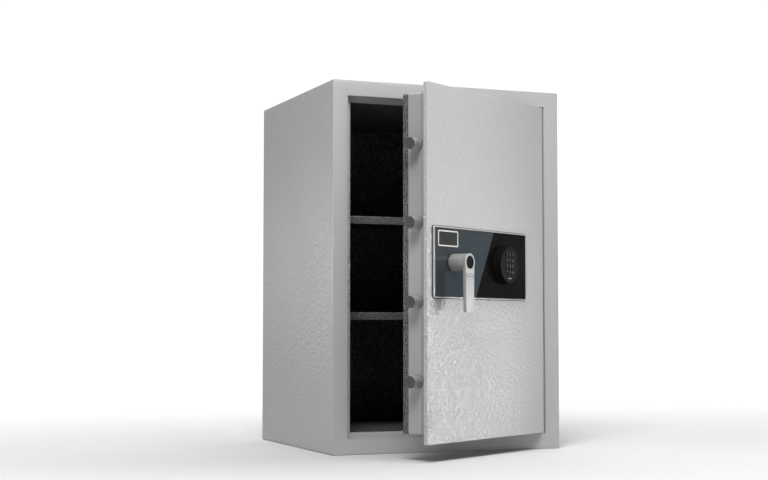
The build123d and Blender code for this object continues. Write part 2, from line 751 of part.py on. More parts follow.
def lock_case():
    x = (LOCK_LEFT, LOCK_LEFT + LOCK_WIDTH)
    z = (KEYPAD_Z - LOCK_HEIGHT / 2, KEYPAD_Z + LOCK_HEIGHT / 2)
    case = prism(outline(x, z, CORNER_R), (HARD_BACK, LOCK_BACK))
    reach = SWING_R + SWING_TIP_R + SWING_CLEAR
    pocket_z = (SWING_Z - SWING_HUB_R - SWING_CLEAR, SWING_Z + reach)
    case -= block((LOCK_LEFT - CUT_PAST, SWING_X + reach), (POCKET_FRONT, POCKET_BACK), pocket_z)
    case += rod_in(SWING_X, SWING_Z, SWING_PIN_R, (POCKET_FRONT, POCKET_BACK))
    return case - lock_screw_rods()


def lock_screw_rods():
    right = LOCK_LEFT + LOCK_WIDTH - LOCK_SCREW_INSET
    up = LOCK_HEIGHT / 2 - LOCK_SCREW_INSET
    places = [(right, KEYPAD_Z - up), (right, KEYPAD_Z + up), (SWING_X, KEYPAD_Z - up)]
    return [rod_in(x, z, LOCK_SCREW_R, (HARD_BACK, LOCK_BACK)) for x, z in places]


def lock_screws():
    screws = []
    for shank in lock_screw_rods():
        middle = shank.center()
        head = (LOCK_BACK, LOCK_BACK + LOCK_SCREW_HEAD_H)
        screws.append(shank + rod_in(middle.X, middle.Z, LOCK_SCREW_HEAD_R, head))
    return group(screws)


def lock_swing_bolt():
    """Lobe that blocks the push arm until the code frees it, then turns out of the way."""
    depth = (POCKET_FRONT + SWING_SIDE_GAP, POCKET_BACK - SWING_SIDE_GAP)
    arm = SlotCenterPoint((SWING_R / 2, 0), (SWING_R, 0), 2 * SWING_TIP_R)
    lobe = Circle(SWING_HUB_R) + Rot(0, 0, 90 + HANDLE_TURN / 2) * arm
    bolt = prism(Pos(SWING_X, SWING_Z) * lobe, depth)
    return bolt - rod_in(SWING_X, SWING_Z, SWING_PIN_R + RUNNING, depth)


def lock_cable():
    return rod_in(KEYPAD_X, KEYPAD_Z, CABLE_R, (BOARD_FRONT + BOARD_T, HARD_BACK))


def battery_pack():
    z = (KEYPAD_Z - BATTERY_HEIGHT / 2, KEYPAD_Z + BATTERY_HEIGHT / 2)
    shape = outline((BATTERY_LEFT, BATTERY_RIGHT), z, CORNER_R)
    return prism(shape, (HARD_BACK, HARD_BACK + BATTERY_DEPTH))


# Handle


def spindle_bush():
    outer = SPINDLE_R + SPINDLE_BUSH_T
    flange = HARD_BACK + SPINDLE_FLANGE_T
    bush = rod_in(HANDLE_X, HANDLE_Z, outer, (0, HARD_BACK))
    bush += rod_in(HANDLE_X, HANDLE_Z, outer + SPINDLE_FLANGE, (HARD_BACK, flange))
    return bush - rod_in(HANDLE_X, HANDLE_Z, SPINDLE_R + RUNNING, (0, flange))


def handle_spindle():
    return rod_in(HANDLE_X, HANDLE_Z, SPINDLE_R, (LEVER_T - HANDLE_REACH, SPINDLE_END))


def spindle_clip():
    start = GEAR_FRONT + GEAR_WIDTH
    ring = rod_in(HANDLE_X, HANDLE_Z, CLIP_RING_R, (start, start + CLIP_RING_T))
    return ring - rod_in(HANDLE_X, HANDLE_Z, SPINDLE_R, (start, start + CLIP_RING_T))


def handle_barrel():
    depth = (LEVER_T - HANDLE_REACH, PANEL_FRONT - HANDLE_GAP)
    barrel = rod_in(HANDLE_X, HANDLE_Z, BARREL_R, depth)
    barrel = chamfer(barrel.edges().sort_by(Axis.Y)[-1], LEVER_EDGE)
    return barrel - rod_in(HANDLE_X, HANDLE_Z, SPINDLE_R, depth) - grub_rod()


def grub_rod():
    depth = (LEVER_T - HANDLE_REACH + PANEL_FRONT - HANDLE_GAP) / 2
    return rod_up(HANDLE_X, depth, GRUB_R, (HANDLE_Z - BARREL_R + LEVER_EDGE, HANDLE_Z - SPINDLE_R))


def handle_grub_screw():
    return grub_rod() - rod_in(HANDLE_X, HANDLE_Z, SPINDLE_R, (-HANDLE_REACH, 0))


def lever_outline():
    """Round head and a blade that narrows to a square tip, drawn about the handle's axis."""
    shoulder = sqrt(BARREL_R**2 - (LEVER_ROOT_WIDTH / 2) ** 2)
    blade = [
        (-LEVER_ROOT_WIDTH / 2, -shoulder),
        (-LEVER_TIP_WIDTH / 2, -LEVER_LENGTH),
        (LEVER_TIP_WIDTH / 2, -LEVER_LENGTH),
        (LEVER_ROOT_WIDTH / 2, -shoulder),
    ]
    face = make_face(Polyline(*blade, close=True))
    face = fillet(face.vertices().group_by(Axis.Y)[0], LEVER_TIP_R)
    return Circle(BARREL_R) + face


def handle_lever():
    depth = (-HANDLE_REACH, LEVER_T - HANDLE_REACH)
    lever = prism(Pos(HANDLE_X, HANDLE_Z) * lever_outline(), depth)
    lever = chamfer(lever.faces().sort_by(Axis.Y)[0].edges(), LEVER_EDGE)
    recess = (-HANDLE_REACH, CAP_RECESS - HANDLE_REACH)
    lever -= rod_in(HANDLE_X, HANDLE_Z, CAP_R, recess)
    for drop in LEVER_GROOVES:
        x = (HANDLE_X - BARREL_R, HANDLE_X + BARREL_R)
        z = HANDLE_Z - drop
        lever -= block(x, (-HANDLE_REACH, GROOVE - HANDLE_REACH), (z - GROOVE / 2, z + GROOVE / 2))
    return lever


def handle_cap():
    cap = rod_in(HANDLE_X, HANDLE_Z, CAP_R, (-HANDLE_REACH - CAP_PROUD, CAP_RECESS - HANDLE_REACH))
    return chamfer(cap.edges().sort_by(Axis.Y)[0], CAP_PROUD)


# Fascia


def fascia_outline(inset, corner):
    x = (FASCIA_LEFT + inset, FASCIA_LEFT + FASCIA_WIDTH - inset)
    z = (FASCIA_Z - FASCIA_HEIGHT / 2 + inset, FASCIA_Z + FASCIA_HEIGHT / 2 - inset)
    return outline(x, z, corner)


def fascia_bezel():
    bezel = prism(fascia_outline(0, FASCIA_CORNER_R), (-FASCIA_T, 0))
    bezel = chamfer(bezel.faces().sort_by(Axis.Y)[0].edges(), FASCIA_BEVEL)
    return bezel - prism(fascia_outline(FASCIA_RIM, FASCIA_CORNER_R - FASCIA_RIM), (-FASCIA_T, 0))


def fascia_panel():
    inset = FASCIA_RIM + PANEL_CLEAR
    panel = prism(fascia_outline(inset, FASCIA_CORNER_R - FASCIA_RIM), (-PANEL_T, 0))
    panel -= rod_in(HANDLE_X, HANDLE_Z, SPINDLE_R + SPINDLE_BUSH_T, (-PANEL_T, 0))
    return panel - rod_in(KEYPAD_X, KEYPAD_Z, CABLE_HOLE_R, (-PANEL_T, 0))


# Keypad


def keypad_housing():
    """Round dish with a flared foot, a rolled front edge and a ledge that the face sits on."""
    bore = FACE_R + PANEL_CLEAR
    inner = KEYPAD_FRONT_R - KEYPAD_WALL
    profile = [
        (KEYPAD_BASE_R, PANEL_FRONT),
        (KEYPAD_BASE_R, PANEL_FRONT - KEYPAD_FOOT),
        (KEYPAD_FRONT_R + KEYPAD_EDGE_R / 2, KEYPAD_FRONT + KEYPAD_EDGE_R * 2),
        (KEYPAD_FRONT_R, KEYPAD_FRONT + KEYPAD_EDGE_R),
        (KEYPAD_FRONT_R - KEYPAD_EDGE_R, KEYPAD_FRONT),
        (bore, KEYPAD_FRONT),
        (bore, FACE_BACK),
        (bore - LEDGE, FACE_BACK),
        (bore - LEDGE, FACE_BACK + LEDGE / 2),
        (inner, FACE_BACK + 2 * LEDGE),
        (inner, PANEL_FRONT),
    ]
    return turned(profile, KEYPAD_X, KEYPAD_Z)


def key_places():
    places = {}
    for row, names in enumerate(KEY_NAMES):
        for column, name in enumerate(names):
            x = KEYPAD_X + (column - 1) * KEY_PITCH_X
            z = KEYPAD_Z + KEY_ROWS_UP + (1.5 - row) * KEY_PITCH_Z
            places[name] = (x, z)
    return places


def key_outline(place, grow, corner):
    x, z = place
    half_x = KEY_WIDTH / 2 + grow
    half_z = KEY_HEIGHT / 2 + grow
    return outline((x - half_x, x + half_x), (z - half_z, z + half_z), corner)


def keypad_face():
    face = rod_in(KEYPAD_X, KEYPAD_Z, FACE_R, (FACE_FRONT, FACE_BACK))
    for place in key_places().values():
        hole = key_outline(place, KEY_CLEAR, KEY_CORNER_R + KEY_CLEAR)
        face -= prism(hole, (FACE_FRONT, FACE_BACK))
    return face


def keypad_board():
    board = KEYPAD_FRONT_R - KEYPAD_WALL - BOARD_CLEAR
    return rod_in(KEYPAD_X, KEYPAD_Z, board, (BOARD_FRONT, BOARD_FRONT + BOARD_T))


def key(place):
    cap = prism(key_outline(place, 0, KEY_CORNER_R), (FACE_FRONT - KEY_PROUD, KEY_BACK))
    cap = chamfer(cap.faces().sort_by(Axis.Y)[0].edges(), KEY_EDGE)
    return cap + prism(key_outline(place, KEY_FLANGE, 0), (KEY_BACK - KEY_FLANGE_T, KEY_BACK))


CABINET = {
    "outer_shell": outer_shell,
    "rear_panel": rear_panel,
    "front_frame": front_frame,
    "strike_channel": strike_channel,
    "hinge_channel": hinge_channel,
    "inner_liner": inner_liner,
    "barrier_fill": barrier_fill,
    "shelf_clips": shelf_clips,
    "hinge_blocks": hinge_blocks,
    "hinge_pins": hinge_pins,
    "thrust_washer": thrust_washer,
}

DOOR = {
    "hinge_stile": hinge_stile,
    "hinge_bushes": hinge_bushes,
    "door_plate": door_plate,
    "door_pan": door_pan,
    "door_seal": door_seal,
    "door_back_cover": door_back_cover,
    "cover_screws": cover_screws,
    "dead_bar": dead_bar,
    "hard_plate": hard_plate,
    "bolt_guide_rail": bolt_guide_rail,
    "carriage_posts": carriage_posts,
    "locking_bolts": locking_bolts,
    "bolt_screws": bolt_screws,
    "bolt_carriage": bolt_carriage,
    "bolt_rack": bolt_rack,
    "lock_push_arm": lock_push_arm,
    "lock_case": lock_case,
    "lock_screws": lock_screws,
    "lock_swing_bolt": lock_swing_bolt,
    "lock_cable": lock_cable,
    "battery_pack": battery_pack,
    "spindle_bush": spindle_bush,
    "handle_spindle": handle_spindle,
    "spindle_clip": spindle_clip,
    "drive_pinion": drive_pinion,
    "handle_barrel": handle_barrel,
    "handle_grub_screw": handle_grub_screw,
    "handle_lever": handle_lever,
    "handle_cap": handle_cap,
    "fascia_bezel": fascia_bezel,
    "fascia_panel": fascia_panel,
    "keypad_housing": keypad_housing,
    "keypad_face": keypad_face,
    "keypad_board": keypad_board,
}


def build():
    pieces = {name: make() for name, make in CABINET.items()}
    for level, top in zip(("lower", "upper"), SHELF_TOPS):
        pieces[f"shelf_{level}"] = shelf(top)
    for name, make in DOOR.items():
        pieces[name] = swing(make())
    for name, place in key_places().items():
        pieces[f"key_{name}"] = swing(key(place))
    os.makedirs("parts", exist_ok=True)
    for name, piece in pieces.items():
        export_step(piece, f"parts/{name}.step")


build()
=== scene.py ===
"""Looks of the keypad safe: its finishes, the pieces modelled by hand, and the studio around it."""

import json
import logging
import math
from abc import ABC, abstractmethod
from collections.abc import Callable, Iterator, Sequence
from contextlib import contextmanager
from dataclasses import dataclass
from enum import Enum

import bmesh
import bpy
from mathutils import Matrix, Vector

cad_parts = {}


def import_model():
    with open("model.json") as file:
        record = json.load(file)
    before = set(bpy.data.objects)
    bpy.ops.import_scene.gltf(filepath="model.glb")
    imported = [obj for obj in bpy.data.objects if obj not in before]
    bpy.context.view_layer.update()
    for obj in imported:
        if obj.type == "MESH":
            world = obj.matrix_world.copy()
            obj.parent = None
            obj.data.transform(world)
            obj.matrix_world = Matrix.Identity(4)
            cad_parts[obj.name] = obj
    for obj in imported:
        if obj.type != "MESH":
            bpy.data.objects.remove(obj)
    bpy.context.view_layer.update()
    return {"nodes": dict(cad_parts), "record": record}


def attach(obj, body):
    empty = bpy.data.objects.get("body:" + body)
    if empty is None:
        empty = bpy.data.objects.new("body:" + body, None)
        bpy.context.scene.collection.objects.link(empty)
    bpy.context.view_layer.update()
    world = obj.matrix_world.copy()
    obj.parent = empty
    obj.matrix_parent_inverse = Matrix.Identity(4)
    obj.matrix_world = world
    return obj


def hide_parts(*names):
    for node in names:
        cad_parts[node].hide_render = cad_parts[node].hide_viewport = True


Colour = tuple[float, float, float]
Point = tuple[float, float, float]
Spot = tuple[float, float]
Ring = tuple[float, float]
Span = tuple[float, float]
Ramp = tuple[float, float, float, float]
Socket = bpy.types.NodeSocket
Test = Callable[[Vector, Vector], bool]

log = logging.getLogger("keypad_safe")

# The door's front face when it is shut, and how far it is opened
FRONT = -0.25
DOOR_ANGLE = math.radians(32.4)
HINGE = Matrix.Translation((0.2265, -0.242, 0.0))
OPENED = HINGE @ Matrix.Rotation(DOOR_ANGLE, 4, "Z") @ HINGE.inverted()

# Turns that lay an upright piece down, and one that stands a flat piece up
INWARDS = Matrix.Rotation(math.radians(-90.0), 4, "X")
ACROSS = Matrix.Rotation(math.radians(90.0), 4, "Y")
STANDING = Matrix.Rotation(math.radians(90.0), 4, "X")

# How near two points are to be one, and how near a point is to be on a plane
MERGE = 1e-6
NEAR = 1e-5

# The cosines past which a direction is along an axis, and roughly along it
SQUARE = 0.99
ROUGHLY = 0.5


class Element(Enum):
    """What an edit tool works on."""

    EDGE = "EDGE"
    FACE = "FACE"


class Grain(Enum):
    """The way that a worked metal's fine lines run, as scales of a noise across, inwards and up."""

    ACROSS = (0.04, 1.0, 1.0)
    AROUND_BOLT = (1.0, 0.04, 0.04)
    UP = (1.0, 1.0, 0.04)
    NONE = (1.0, 1.0, 1.0)


def lathe_in(x: float, z: float) -> Matrix:
    """The move from the lathe to an inward axis of the shut door, with heights as depths."""
    return Matrix.Translation((x, FRONT, z)) @ INWARDS


def link(obj: bpy.types.Object) -> None:
    """Puts a new object in the scene."""
    bpy.context.scene.collection.objects.link(obj)


# Hand tools


class Bench:
    """One new mesh and the tools that shape it.

    The object stays at the origin, so that a place in its mesh is a place in the safe.
    """

    def __init__(self, obj: bpy.types.Object) -> None:
        """Takes an object whose place, turn and size are applied."""
        self.obj = obj
        self.element = Element.FACE

    @classmethod
    def _take(cls, name: str) -> "Bench":
        """Names the primitive that was just added, and applies its place.

        Args:
            name: The piece's name.

        Returns:
            The bench with the primitive.
        """
        bench = cls(bpy.context.active_object).named(name)
        bpy.ops.object.transform_apply(location=True, rotation=True, scale=True)
        return bench

    @classmethod
    def slab(cls, name: str, low: Sequence[float], high: Sequence[float]) -> "Bench":
        """Starts from a box.

        Args:
            name: The piece's name.
            low: The box's lowest corner.
            high: The box's highest corner.

        Returns:
            The bench with the new mesh.
        """
        size = Vector(high) - Vector(low)
        bpy.ops.mesh.primitive_cube_add(size=1.0, location=Vector(low) + size / 2, scale=size)
        return cls._take(name)

    @classmethod
    def turned(
        cls, name: str, rings: Sequence[Ring], place: Matrix, sides: int = 64, hollow: bool = False
    ) -> "Bench":
        """Turns a piece about +Z ring by ring, as on a lathe, and puts it in its place.

        Args:
            name: The piece's name.
            rings: The radius and height of each ring, from one end to the other.
            place: The move from the lathe to the safe.
            sides: How many faces go round.
            hollow: Whether the last ring is joined to the first, with no end faces.

        Returns:
            The bench with the new mesh.
        """
        radius, height = rings[0]
        bpy.ops.mesh.primitive_circle_add(
            vertices=sides, radius=radius, fill_type="NGON", location=(0.0, 0.0, height)
        )
        bench = cls._take(name)
        with bench.editing(Element.FACE):
            bpy.ops.mesh.select_all(action="SELECT")
            for next_radius, next_height in rings[1:]:
                bench.extrude((0.0, 0.0, next_height - height))
                scale = next_radius / radius
                bench.scale((scale, scale, 1.0), (0.0, 0.0, next_height))
                radius, height = next_radius, next_height
            if hollow:
                bpy.ops.mesh.delete(type="ONLY_FACE")
                bench.pick(lambda middle, normal: middle.xy.length < NEAR)
                bpy.ops.mesh.delete(type="ONLY_FACE")
                bpy.ops.mesh.select_mode(type=Element.EDGE.value)
                bpy.ops.mesh.select_non_manifold()
                bpy.ops.mesh.bridge_edge_loops()
            bench.face_outwards()
        return bench.placed(place)

    def named(self, name: str) -> "Bench":
        """Gives the object and its mesh one name."""
        self.obj.name = self.obj.data.name = name
        return self

    def discard(self) -> None:
        """Throws the mesh away, once it has been copied or cut with."""
        bpy.data.objects.remove(self.obj, do_unlink=True)

    def _choose(self) -> None:
        """Makes the piece the active object, and the only one selected."""
        bpy.ops.object.select_all(action="DESELECT")
        self.obj.select_set(True)
        bpy.context.view_layer.objects.active = self.obj

    @contextmanager
    def editing(self, element: Element) -> Iterator[None]:
        """Opens the mesh in edit mode with nothing selected, and closes it again.

        Args:
            element: What the tools select.
        """
        self._choose()
        self.element = element
        bpy.ops.object.mode_set(mode="EDIT")
        bpy.ops.mesh.select_mode(type=element.value)
        bpy.ops.mesh.select_all(action="DESELECT")
        yield
        bpy.ops.object.mode_set(mode="OBJECT")

    def pick(self, test: Test) -> None:
        """Selects some of the elements that are being edited, and no others.

        Args:
            test: What a face's middle and normal, or an edge's middle and way, have to pass.
        """
        bpy.ops.mesh.select_all(action="DESELECT")
        shape = bmesh.from_edit_mesh(self.obj.data)
        if self.element is Element.FACE:
            found = [(face, face.calc_center_median(), face.normal) for face in shape.faces]
        else:
            ends = [(edge, *(vertex.co for vertex in edge.verts)) for edge in shape.edges]
            found = [(edge, (a + b) / 2, (b - a).normalized()) for edge, a, b in ends]
        for item, middle, way in found:
            if test(middle, way):
                item.select_set(True)
        bmesh.update_edit_mesh(self.obj.data)

    def extrude(self, move: Sequence[float]) -> None:
        """Extrudes the selected region by a move."""
        bpy.ops.mesh.extrude_region_move(TRANSFORM_OT_translate={"value": tuple(move)})

    def scale(self, shares: Point, middle: Point) -> None:
        """Scales the selected region about a point."""
        bpy.ops.transform.resize(value=shares, center_override=middle)

    def bevel(self, width: float, segments: int) -> None:
        """Rounds the selected edges."""
        bpy.ops.mesh.bevel(offset=width, segments=segments, affect="EDGES", clamp_overlap=True)

    def face_outwards(self) -> None:
        """Merges the points of a closed mesh and turns its normals outwards."""
        bpy.ops.mesh.select_all(action="SELECT")
        bpy.ops.mesh.remove_doubles(threshold=MERGE)
        bpy.ops.mesh.normals_make_consistent(inside=False)

    def round_corners(self, radius: float, segments: int = 6) -> "Bench":
        """Rounds a plate's corners in the front view.

        Args:
            radius: The corners' radius.
            segments: How many faces round a corner.

        Returns:
            The same bench.
        """
        with self.editing(Element.EDGE):
            self.pick(lambda middle, way: abs(way.y) > SQUARE)
            self.bevel(radius, segments)
        return self

    def _modify(self, kind: str, **settings: object) -> "Bench":
        """Adds a modifier and applies it.

        Args:
            kind: The modifier's type.
            settings: Its settings by name.

        Returns:
            The same bench.
        """
        self._choose()
        modifier = self.obj.modifiers.new(kind.lower(), kind)
        for name, value in settings.items():
            setattr(modifier, name, value)
        bpy.ops.object.modifier_apply(modifier=modifier.name)
        return self

    def soften(self, width: float, segments: int, angle: float = 35.0, clamp: bool = True) -> "Bench":
        """Rounds the mesh's sharp edges.

        Args:
            width: How far the rounding reaches from an edge.
            segments: How many faces round an edge.
            angle: The angle in degrees from which an edge is sharp.
            clamp: Whether a rounding stops where it meets another one.

        Returns:
            The same bench.
        """
        return self._modify(
            "BEVEL", width=width, segments=segments, use_clamp_overlap=clamp,
            limit_method="ANGLE", angle_limit=math.radians(angle),
        )

    def carve(self, cutter: "Bench") -> "Bench":
        """Cuts another mesh's shape out of this one.

        Args:
            cutter: The other mesh, which is thrown away.

        Returns:
            The same bench.
        """
        self._modify("BOOLEAN", operation="DIFFERENCE", object=cutter.obj, solver="EXACT")
        cutter.discard()
        return self

    def smooth(self, angle: float = 40.0) -> "Bench":
        """Shades smooth, apart from the sharp edges.

        Args:
            angle: The angle in degrees past which an edge is sharp.

        Returns:
            The same bench.
        """
        self._choose()
        bpy.ops.object.shade_smooth_by_angle(angle=math.radians(angle))
        return self

    def placed(self, place: Matrix) -> "Bench":
        """Moves the mesh itself, so that the object stays at the origin.

        Args:
            place: The move.

        Returns:
            The same bench.
        """
        self.obj.data.transform(place)
        self.obj.data.update()
        return self

    def copied(self, name: str, move: Matrix) -> "Bench":
        """Makes a moved copy with its own mesh.

        Args:
            name: The copy's name.
            move: How far the copy is moved.

        Returns:
            The bench with the copy.
        """
        obj = self.obj.copy()
        obj.data = self.obj.data.copy()
        link(obj)
        return Bench(obj).named(name).placed(move)

    def trim(self, first: "Slot | Trim", second: "Trim", test: Test) -> "Bench":
        """Gives the mesh two finishes.

        Args:
            first: The finish of most faces.
            second: The finish of the faces that pass the test.
            test: What those faces' middle and normal have to pass.

        Returns:
            The same bench.
        """
        self.obj.data.materials.clear()
        for choice in (first, second):
            self.obj.data.materials.append(material_of(choice))
        for face in self.obj.data.polygons:
            face.material_index = int(test(face.center, face.normal))
        return self

    def finish(self, body: str, slot: "Slot", *nodes: str) -> None:
        """Dresses the piece, puts it on its body and hides the CAD nodes that it stands for.

        Args:
            body: The CAD body that carries the piece.
            slot: The material slot that it takes its finish from.
            nodes: The CAD nodes that it replaces.
        """
        if not len(self.obj.data.materials):
            self.obj.data.materials.append(material_of(slot))
        if nodes:
            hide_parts(*nodes)
        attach(self.obj, body)
        log.info("%s rides on %s", self.obj.name, body)


# Finishes, with the scales of their noises in waves a metre

PEBBLE_SOFTNESS = 0.6
PEBBLE_SLOPE = (0.0, 0.7)
NOISE_RANGE = (0.3, 0.7)


class NodeTree:
    """A node tree, with short calls that add a node and join it."""

    def __init__(self, tree: bpy.types.NodeTree) -> None:
        """Takes the tree that the nodes go in."""
        self.tree = tree

    def join(self, socket: Socket, target: Socket) -> None:
        """Joins a node's output to an input."""
        self.tree.links.new(socket, target)

    def add(self, kind: str, inputs: dict[int | str, object], **settings: object) -> bpy.types.Node:
        """Adds a node.

        Args:
            kind: The node's type.
            inputs: A socket to join or a value to set, by the input's name or number.
            settings: The node's own settings.

        Returns:
            The new node.
        """
        node = self.tree.nodes.new(kind)
        for name, value in settings.items():
            setattr(node, name, value)
        for key, value in inputs.items():
            if isinstance(value, Socket):
                self.join(value, node.inputs[key])
            else:
                node.inputs[key].default_value = value
        return node

    def math(self, operation: str, *values: object) -> Socket:
        """A sum on values or sockets."""
        return self.add("ShaderNodeMath", dict(enumerate(values)), operation=operation).outputs[0]

    def between(self, value: Socket, source: Span, target: Span, eased: bool = False) -> Socket:
        """Maps a value from one range to another, and stops at its ends.

        Args:
            value: The value to map.
            source: The range that it comes from.
            target: The range that it goes to.
            eased: Whether it starts and ends gently.

        Returns:
            The mapped value.
        """
        inputs = dict(enumerate((value, *source, *target)))
        way = "SMOOTHSTEP" if eased else "LINEAR"
        node = self.add("ShaderNodeMapRange", inputs, clamp=True, interpolation_type=way)
        return node.outputs[0]


class Graph(NodeTree):
    """A finish's node tree, from the place on the piece to the shader."""

    def __init__(self, name: str) -> None:
        """Starts a material with its shader and a place on the piece.

        Args:
            name: The material's name.
        """
        self.material = bpy.data.materials.new(name)
        self.material.use_nodes = True
        super().__init__(self.material.node_tree)
        self.shader = next(n for n in self.tree.nodes if n.type == "BSDF_PRINCIPLED")
        self.place = self.add("ShaderNodeTexCoord", {}).outputs["Object"]

    def on_shut_door(self, scale: Point = (1.0, 1.0, 1.0)) -> Socket:
        """The place on the door before it was opened.

        Args:
            scale: What it is multiplied by along each axis.

        Returns:
            The scaled place.
        """
        back = OPENED.inverted()
        inputs = {0: self.place, "Location": back.to_translation(), "Rotation": back.to_euler()}
        shut = self.add("ShaderNodeMapping", inputs).outputs[0]
        return self.add("ShaderNodeMapping", {0: shut, "Scale": scale}).outputs[0]

    def noise(self, scale: float, detail: float = 2.0, place: Socket | None = None) -> Socket:
        """A noise from 0 to 1, at the place on the piece if no other is given."""
        inputs = {"Vector": place or self.place, "Scale": scale, "Detail": detail}
        return self.add("ShaderNodeTexNoise", inputs).outputs[0]

    def pebbles(self, scale: float) -> Socket:
        """Soft round cells, as a sprayed film draws up into.

        Args:
            scale: How many cells there are in a metre.

        Returns:
            A value that rises from a cell's middle to its edge.
        """
        inputs = {"Vector": self.place, "Scale": scale, "Smoothness": PEBBLE_SOFTNESS}
        node = self.add("ShaderNodeTexVoronoi", inputs, feature="SMOOTH_F1")
        return self.between(node.outputs["Distance"], PEBBLE_SLOPE, PEBBLE_SLOPE, eased=True)

    def distance(self, point: Point) -> Socket:
        """How far the place on the piece is from a point."""
        inputs = {0: self.place, 1: point}
        return self.add("ShaderNodeVectorMath", inputs, operation="DISTANCE").outputs["Value"]

    def colour(self, share: Socket, first: Colour, second: Colour) -> None:
        """Mixes the shader's colour from two.

        Args:
            share: The share of the second colour.
            first: The colour at a share of 0.
            second: The colour at a share of 1.
        """
        ramp = self.add("ShaderNodeValToRGB", {0: share})
        for element, colour in zip(ramp.color_ramp.elements, (first, second)):
            element.color = (*colour, 1.0)
        self.join(ramp.outputs[0], self.shader.inputs["Base Color"])

    def bump(self, height: Socket, strength: Socket | float, depth: float) -> None:
        """Raises the surface by a height of up to a depth in metres."""
        inputs = {"Height": height, "Strength": strength, "Distance": depth}
        self.join(self.add("ShaderNodeBump", inputs).outputs[0], self.shader.inputs["Normal"])

    def wear(self, roughness: Span, noise: Socket) -> None:
        """Lets the roughness wander between two values."""
        self.join(self.between(noise, NOISE_RANGE, roughness), self.shader.inputs["Roughness"])

    def set(self, **values: float) -> None:
        """Sets the shader's plain numbers, by socket name with underscores for spaces."""
        for name, value in values.items():
            self.shader.inputs[name.replace("_", " ")].default_value = value


def grey(shade: float) -> Colour:
    """An even grey."""
    return (shade, shade, shade)


class Finish(ABC):
    """A surface's looks, as a recipe for a node tree."""

    @abstractmethod
    def paint(self, graph: Graph) -> None:
        """Fills in the node tree.

        Args:
            graph: The tree, with its shader and a place on the piece.
        """

    def make(self, name: str) -> bpy.types.Material:
        """Builds the material.

        Args:
            name: The material's name.

        Returns:
            The new material.
        """
        graph = Graph(name)
        self.paint(graph)
        return graph.material


@dataclass(frozen=True)
class TexturedPaint(Finish):
    """Baked enamel that draws up into small pebbles, with a fine metallic fleck.

    Its relief can be strongest round one point, and a face that looks out of the front smooth.
    """

    dark: Colour
    light: Colour
    pebble: float = 0.0075
    pebble_height: float = 1.3
    grit: float = 1.4
    depth: float = 0.0016
    flecks: float = 1.8
    fleck: Span = (0.2, 0.8)
    fleck_share: float = 0.8
    cloud: float = 5.0
    cloud_share: float = 0.2
    roughness: Span = (0.29, 0.36)
    metallic: float = 0.2
    specular: float = 0.5
    smooth_front: float | None = None
    smooth_edge: float = 0.004
    smooth_relief: float = 0.06
    strongest: Point | None = None
    fade: Span = (0.08, 0.33)
    weakest: float = 0.35

    def paint(self, graph: Graph) -> None:
        """Fills in the node tree."""
        pebbles = graph.pebbles(1.0 / self.pebble)
        grit = graph.noise(self.grit / self.pebble)
        height = graph.math("ADD", graph.math("MULTIPLY", pebbles, self.pebble_height), grit)
        strength: Socket | float = 1.0
        if self.smooth_front is not None:
            inwards = graph.add("ShaderNodeSeparateXYZ", {0: graph.place}).outputs[1]
            edge = (self.smooth_front, self.smooth_front + self.smooth_edge)
            strength = graph.between(inwards, edge, (self.smooth_relief, 1.0))
        if self.strongest is not None:
            away = graph.distance(self.strongest)
            faded = graph.between(away, self.fade, (1.0, self.weakest))
            strength = graph.math("MULTIPLY", strength, faded)
        graph.bump(height, strength, self.depth)
        flecks = graph.noise(self.flecks / self.pebble, detail=1.0)
        fleck = graph.between(flecks, self.fleck, (0.0, self.fleck_share))
        cloud = graph.math("MULTIPLY", graph.noise(self.cloud), self.cloud_share)
        graph.colour(graph.math("ADD", fleck, cloud), self.dark, self.light)
        graph.wear(self.roughness, grit)
        graph.set(Metallic=self.metallic, Specular_IOR_Level=self.specular)


@dataclass(frozen=True)
class WorkedMetal(Finish):
    """Bare or plated metal with fine lines where a tool ran."""

    dark: Colour
    light: Colour
    grain: Grain = Grain.NONE
    roughness: Span = (0.22, 0.34)
    metallic: float = 1.0
    lines: float = 1800.0
    relief: float = 0.12
    depth: float = 0.0001
    smudge: float = 90.0

    def paint(self, graph: Graph) -> None:
        """Fills in the node tree."""
        lines = graph.noise(self.lines, place=graph.on_shut_door(self.grain.value))
        graph.colour(lines, self.dark, self.light)
        graph.bump(lines, self.relief, self.depth)
        graph.wear(self.roughness, graph.noise(self.smudge))
        graph.set(Metallic=self.metallic)


@dataclass(frozen=True)
class Skin(Finish):
    """Plastic or rubber with the fine grain of its mould, or smooth paint with its orange peel."""

    dark: Colour
    light: Colour
    roughness: Span = (0.4, 0.55)
    metallic: float = 0.0
    specular: float = 0.4
    cloud: float = 30.0
    grain: float = 1.0 / 0.0007
    detail: float = 2.0
    relief: float = 0.15
    depth: float = 0.0001
    smudge: float = 50.0

    def paint(self, graph: Graph) -> None:
        """Fills in the node tree."""
        graph.colour(graph.noise(self.cloud, detail=3.0), self.dark, self.light)
        graph.bump(graph.noise(self.grain, self.detail), self.relief, self.depth)
        graph.wear(self.roughness, graph.noise(self.smudge))
        graph.set(Metallic=self.metallic, Specular_IOR_Level=self.specular)


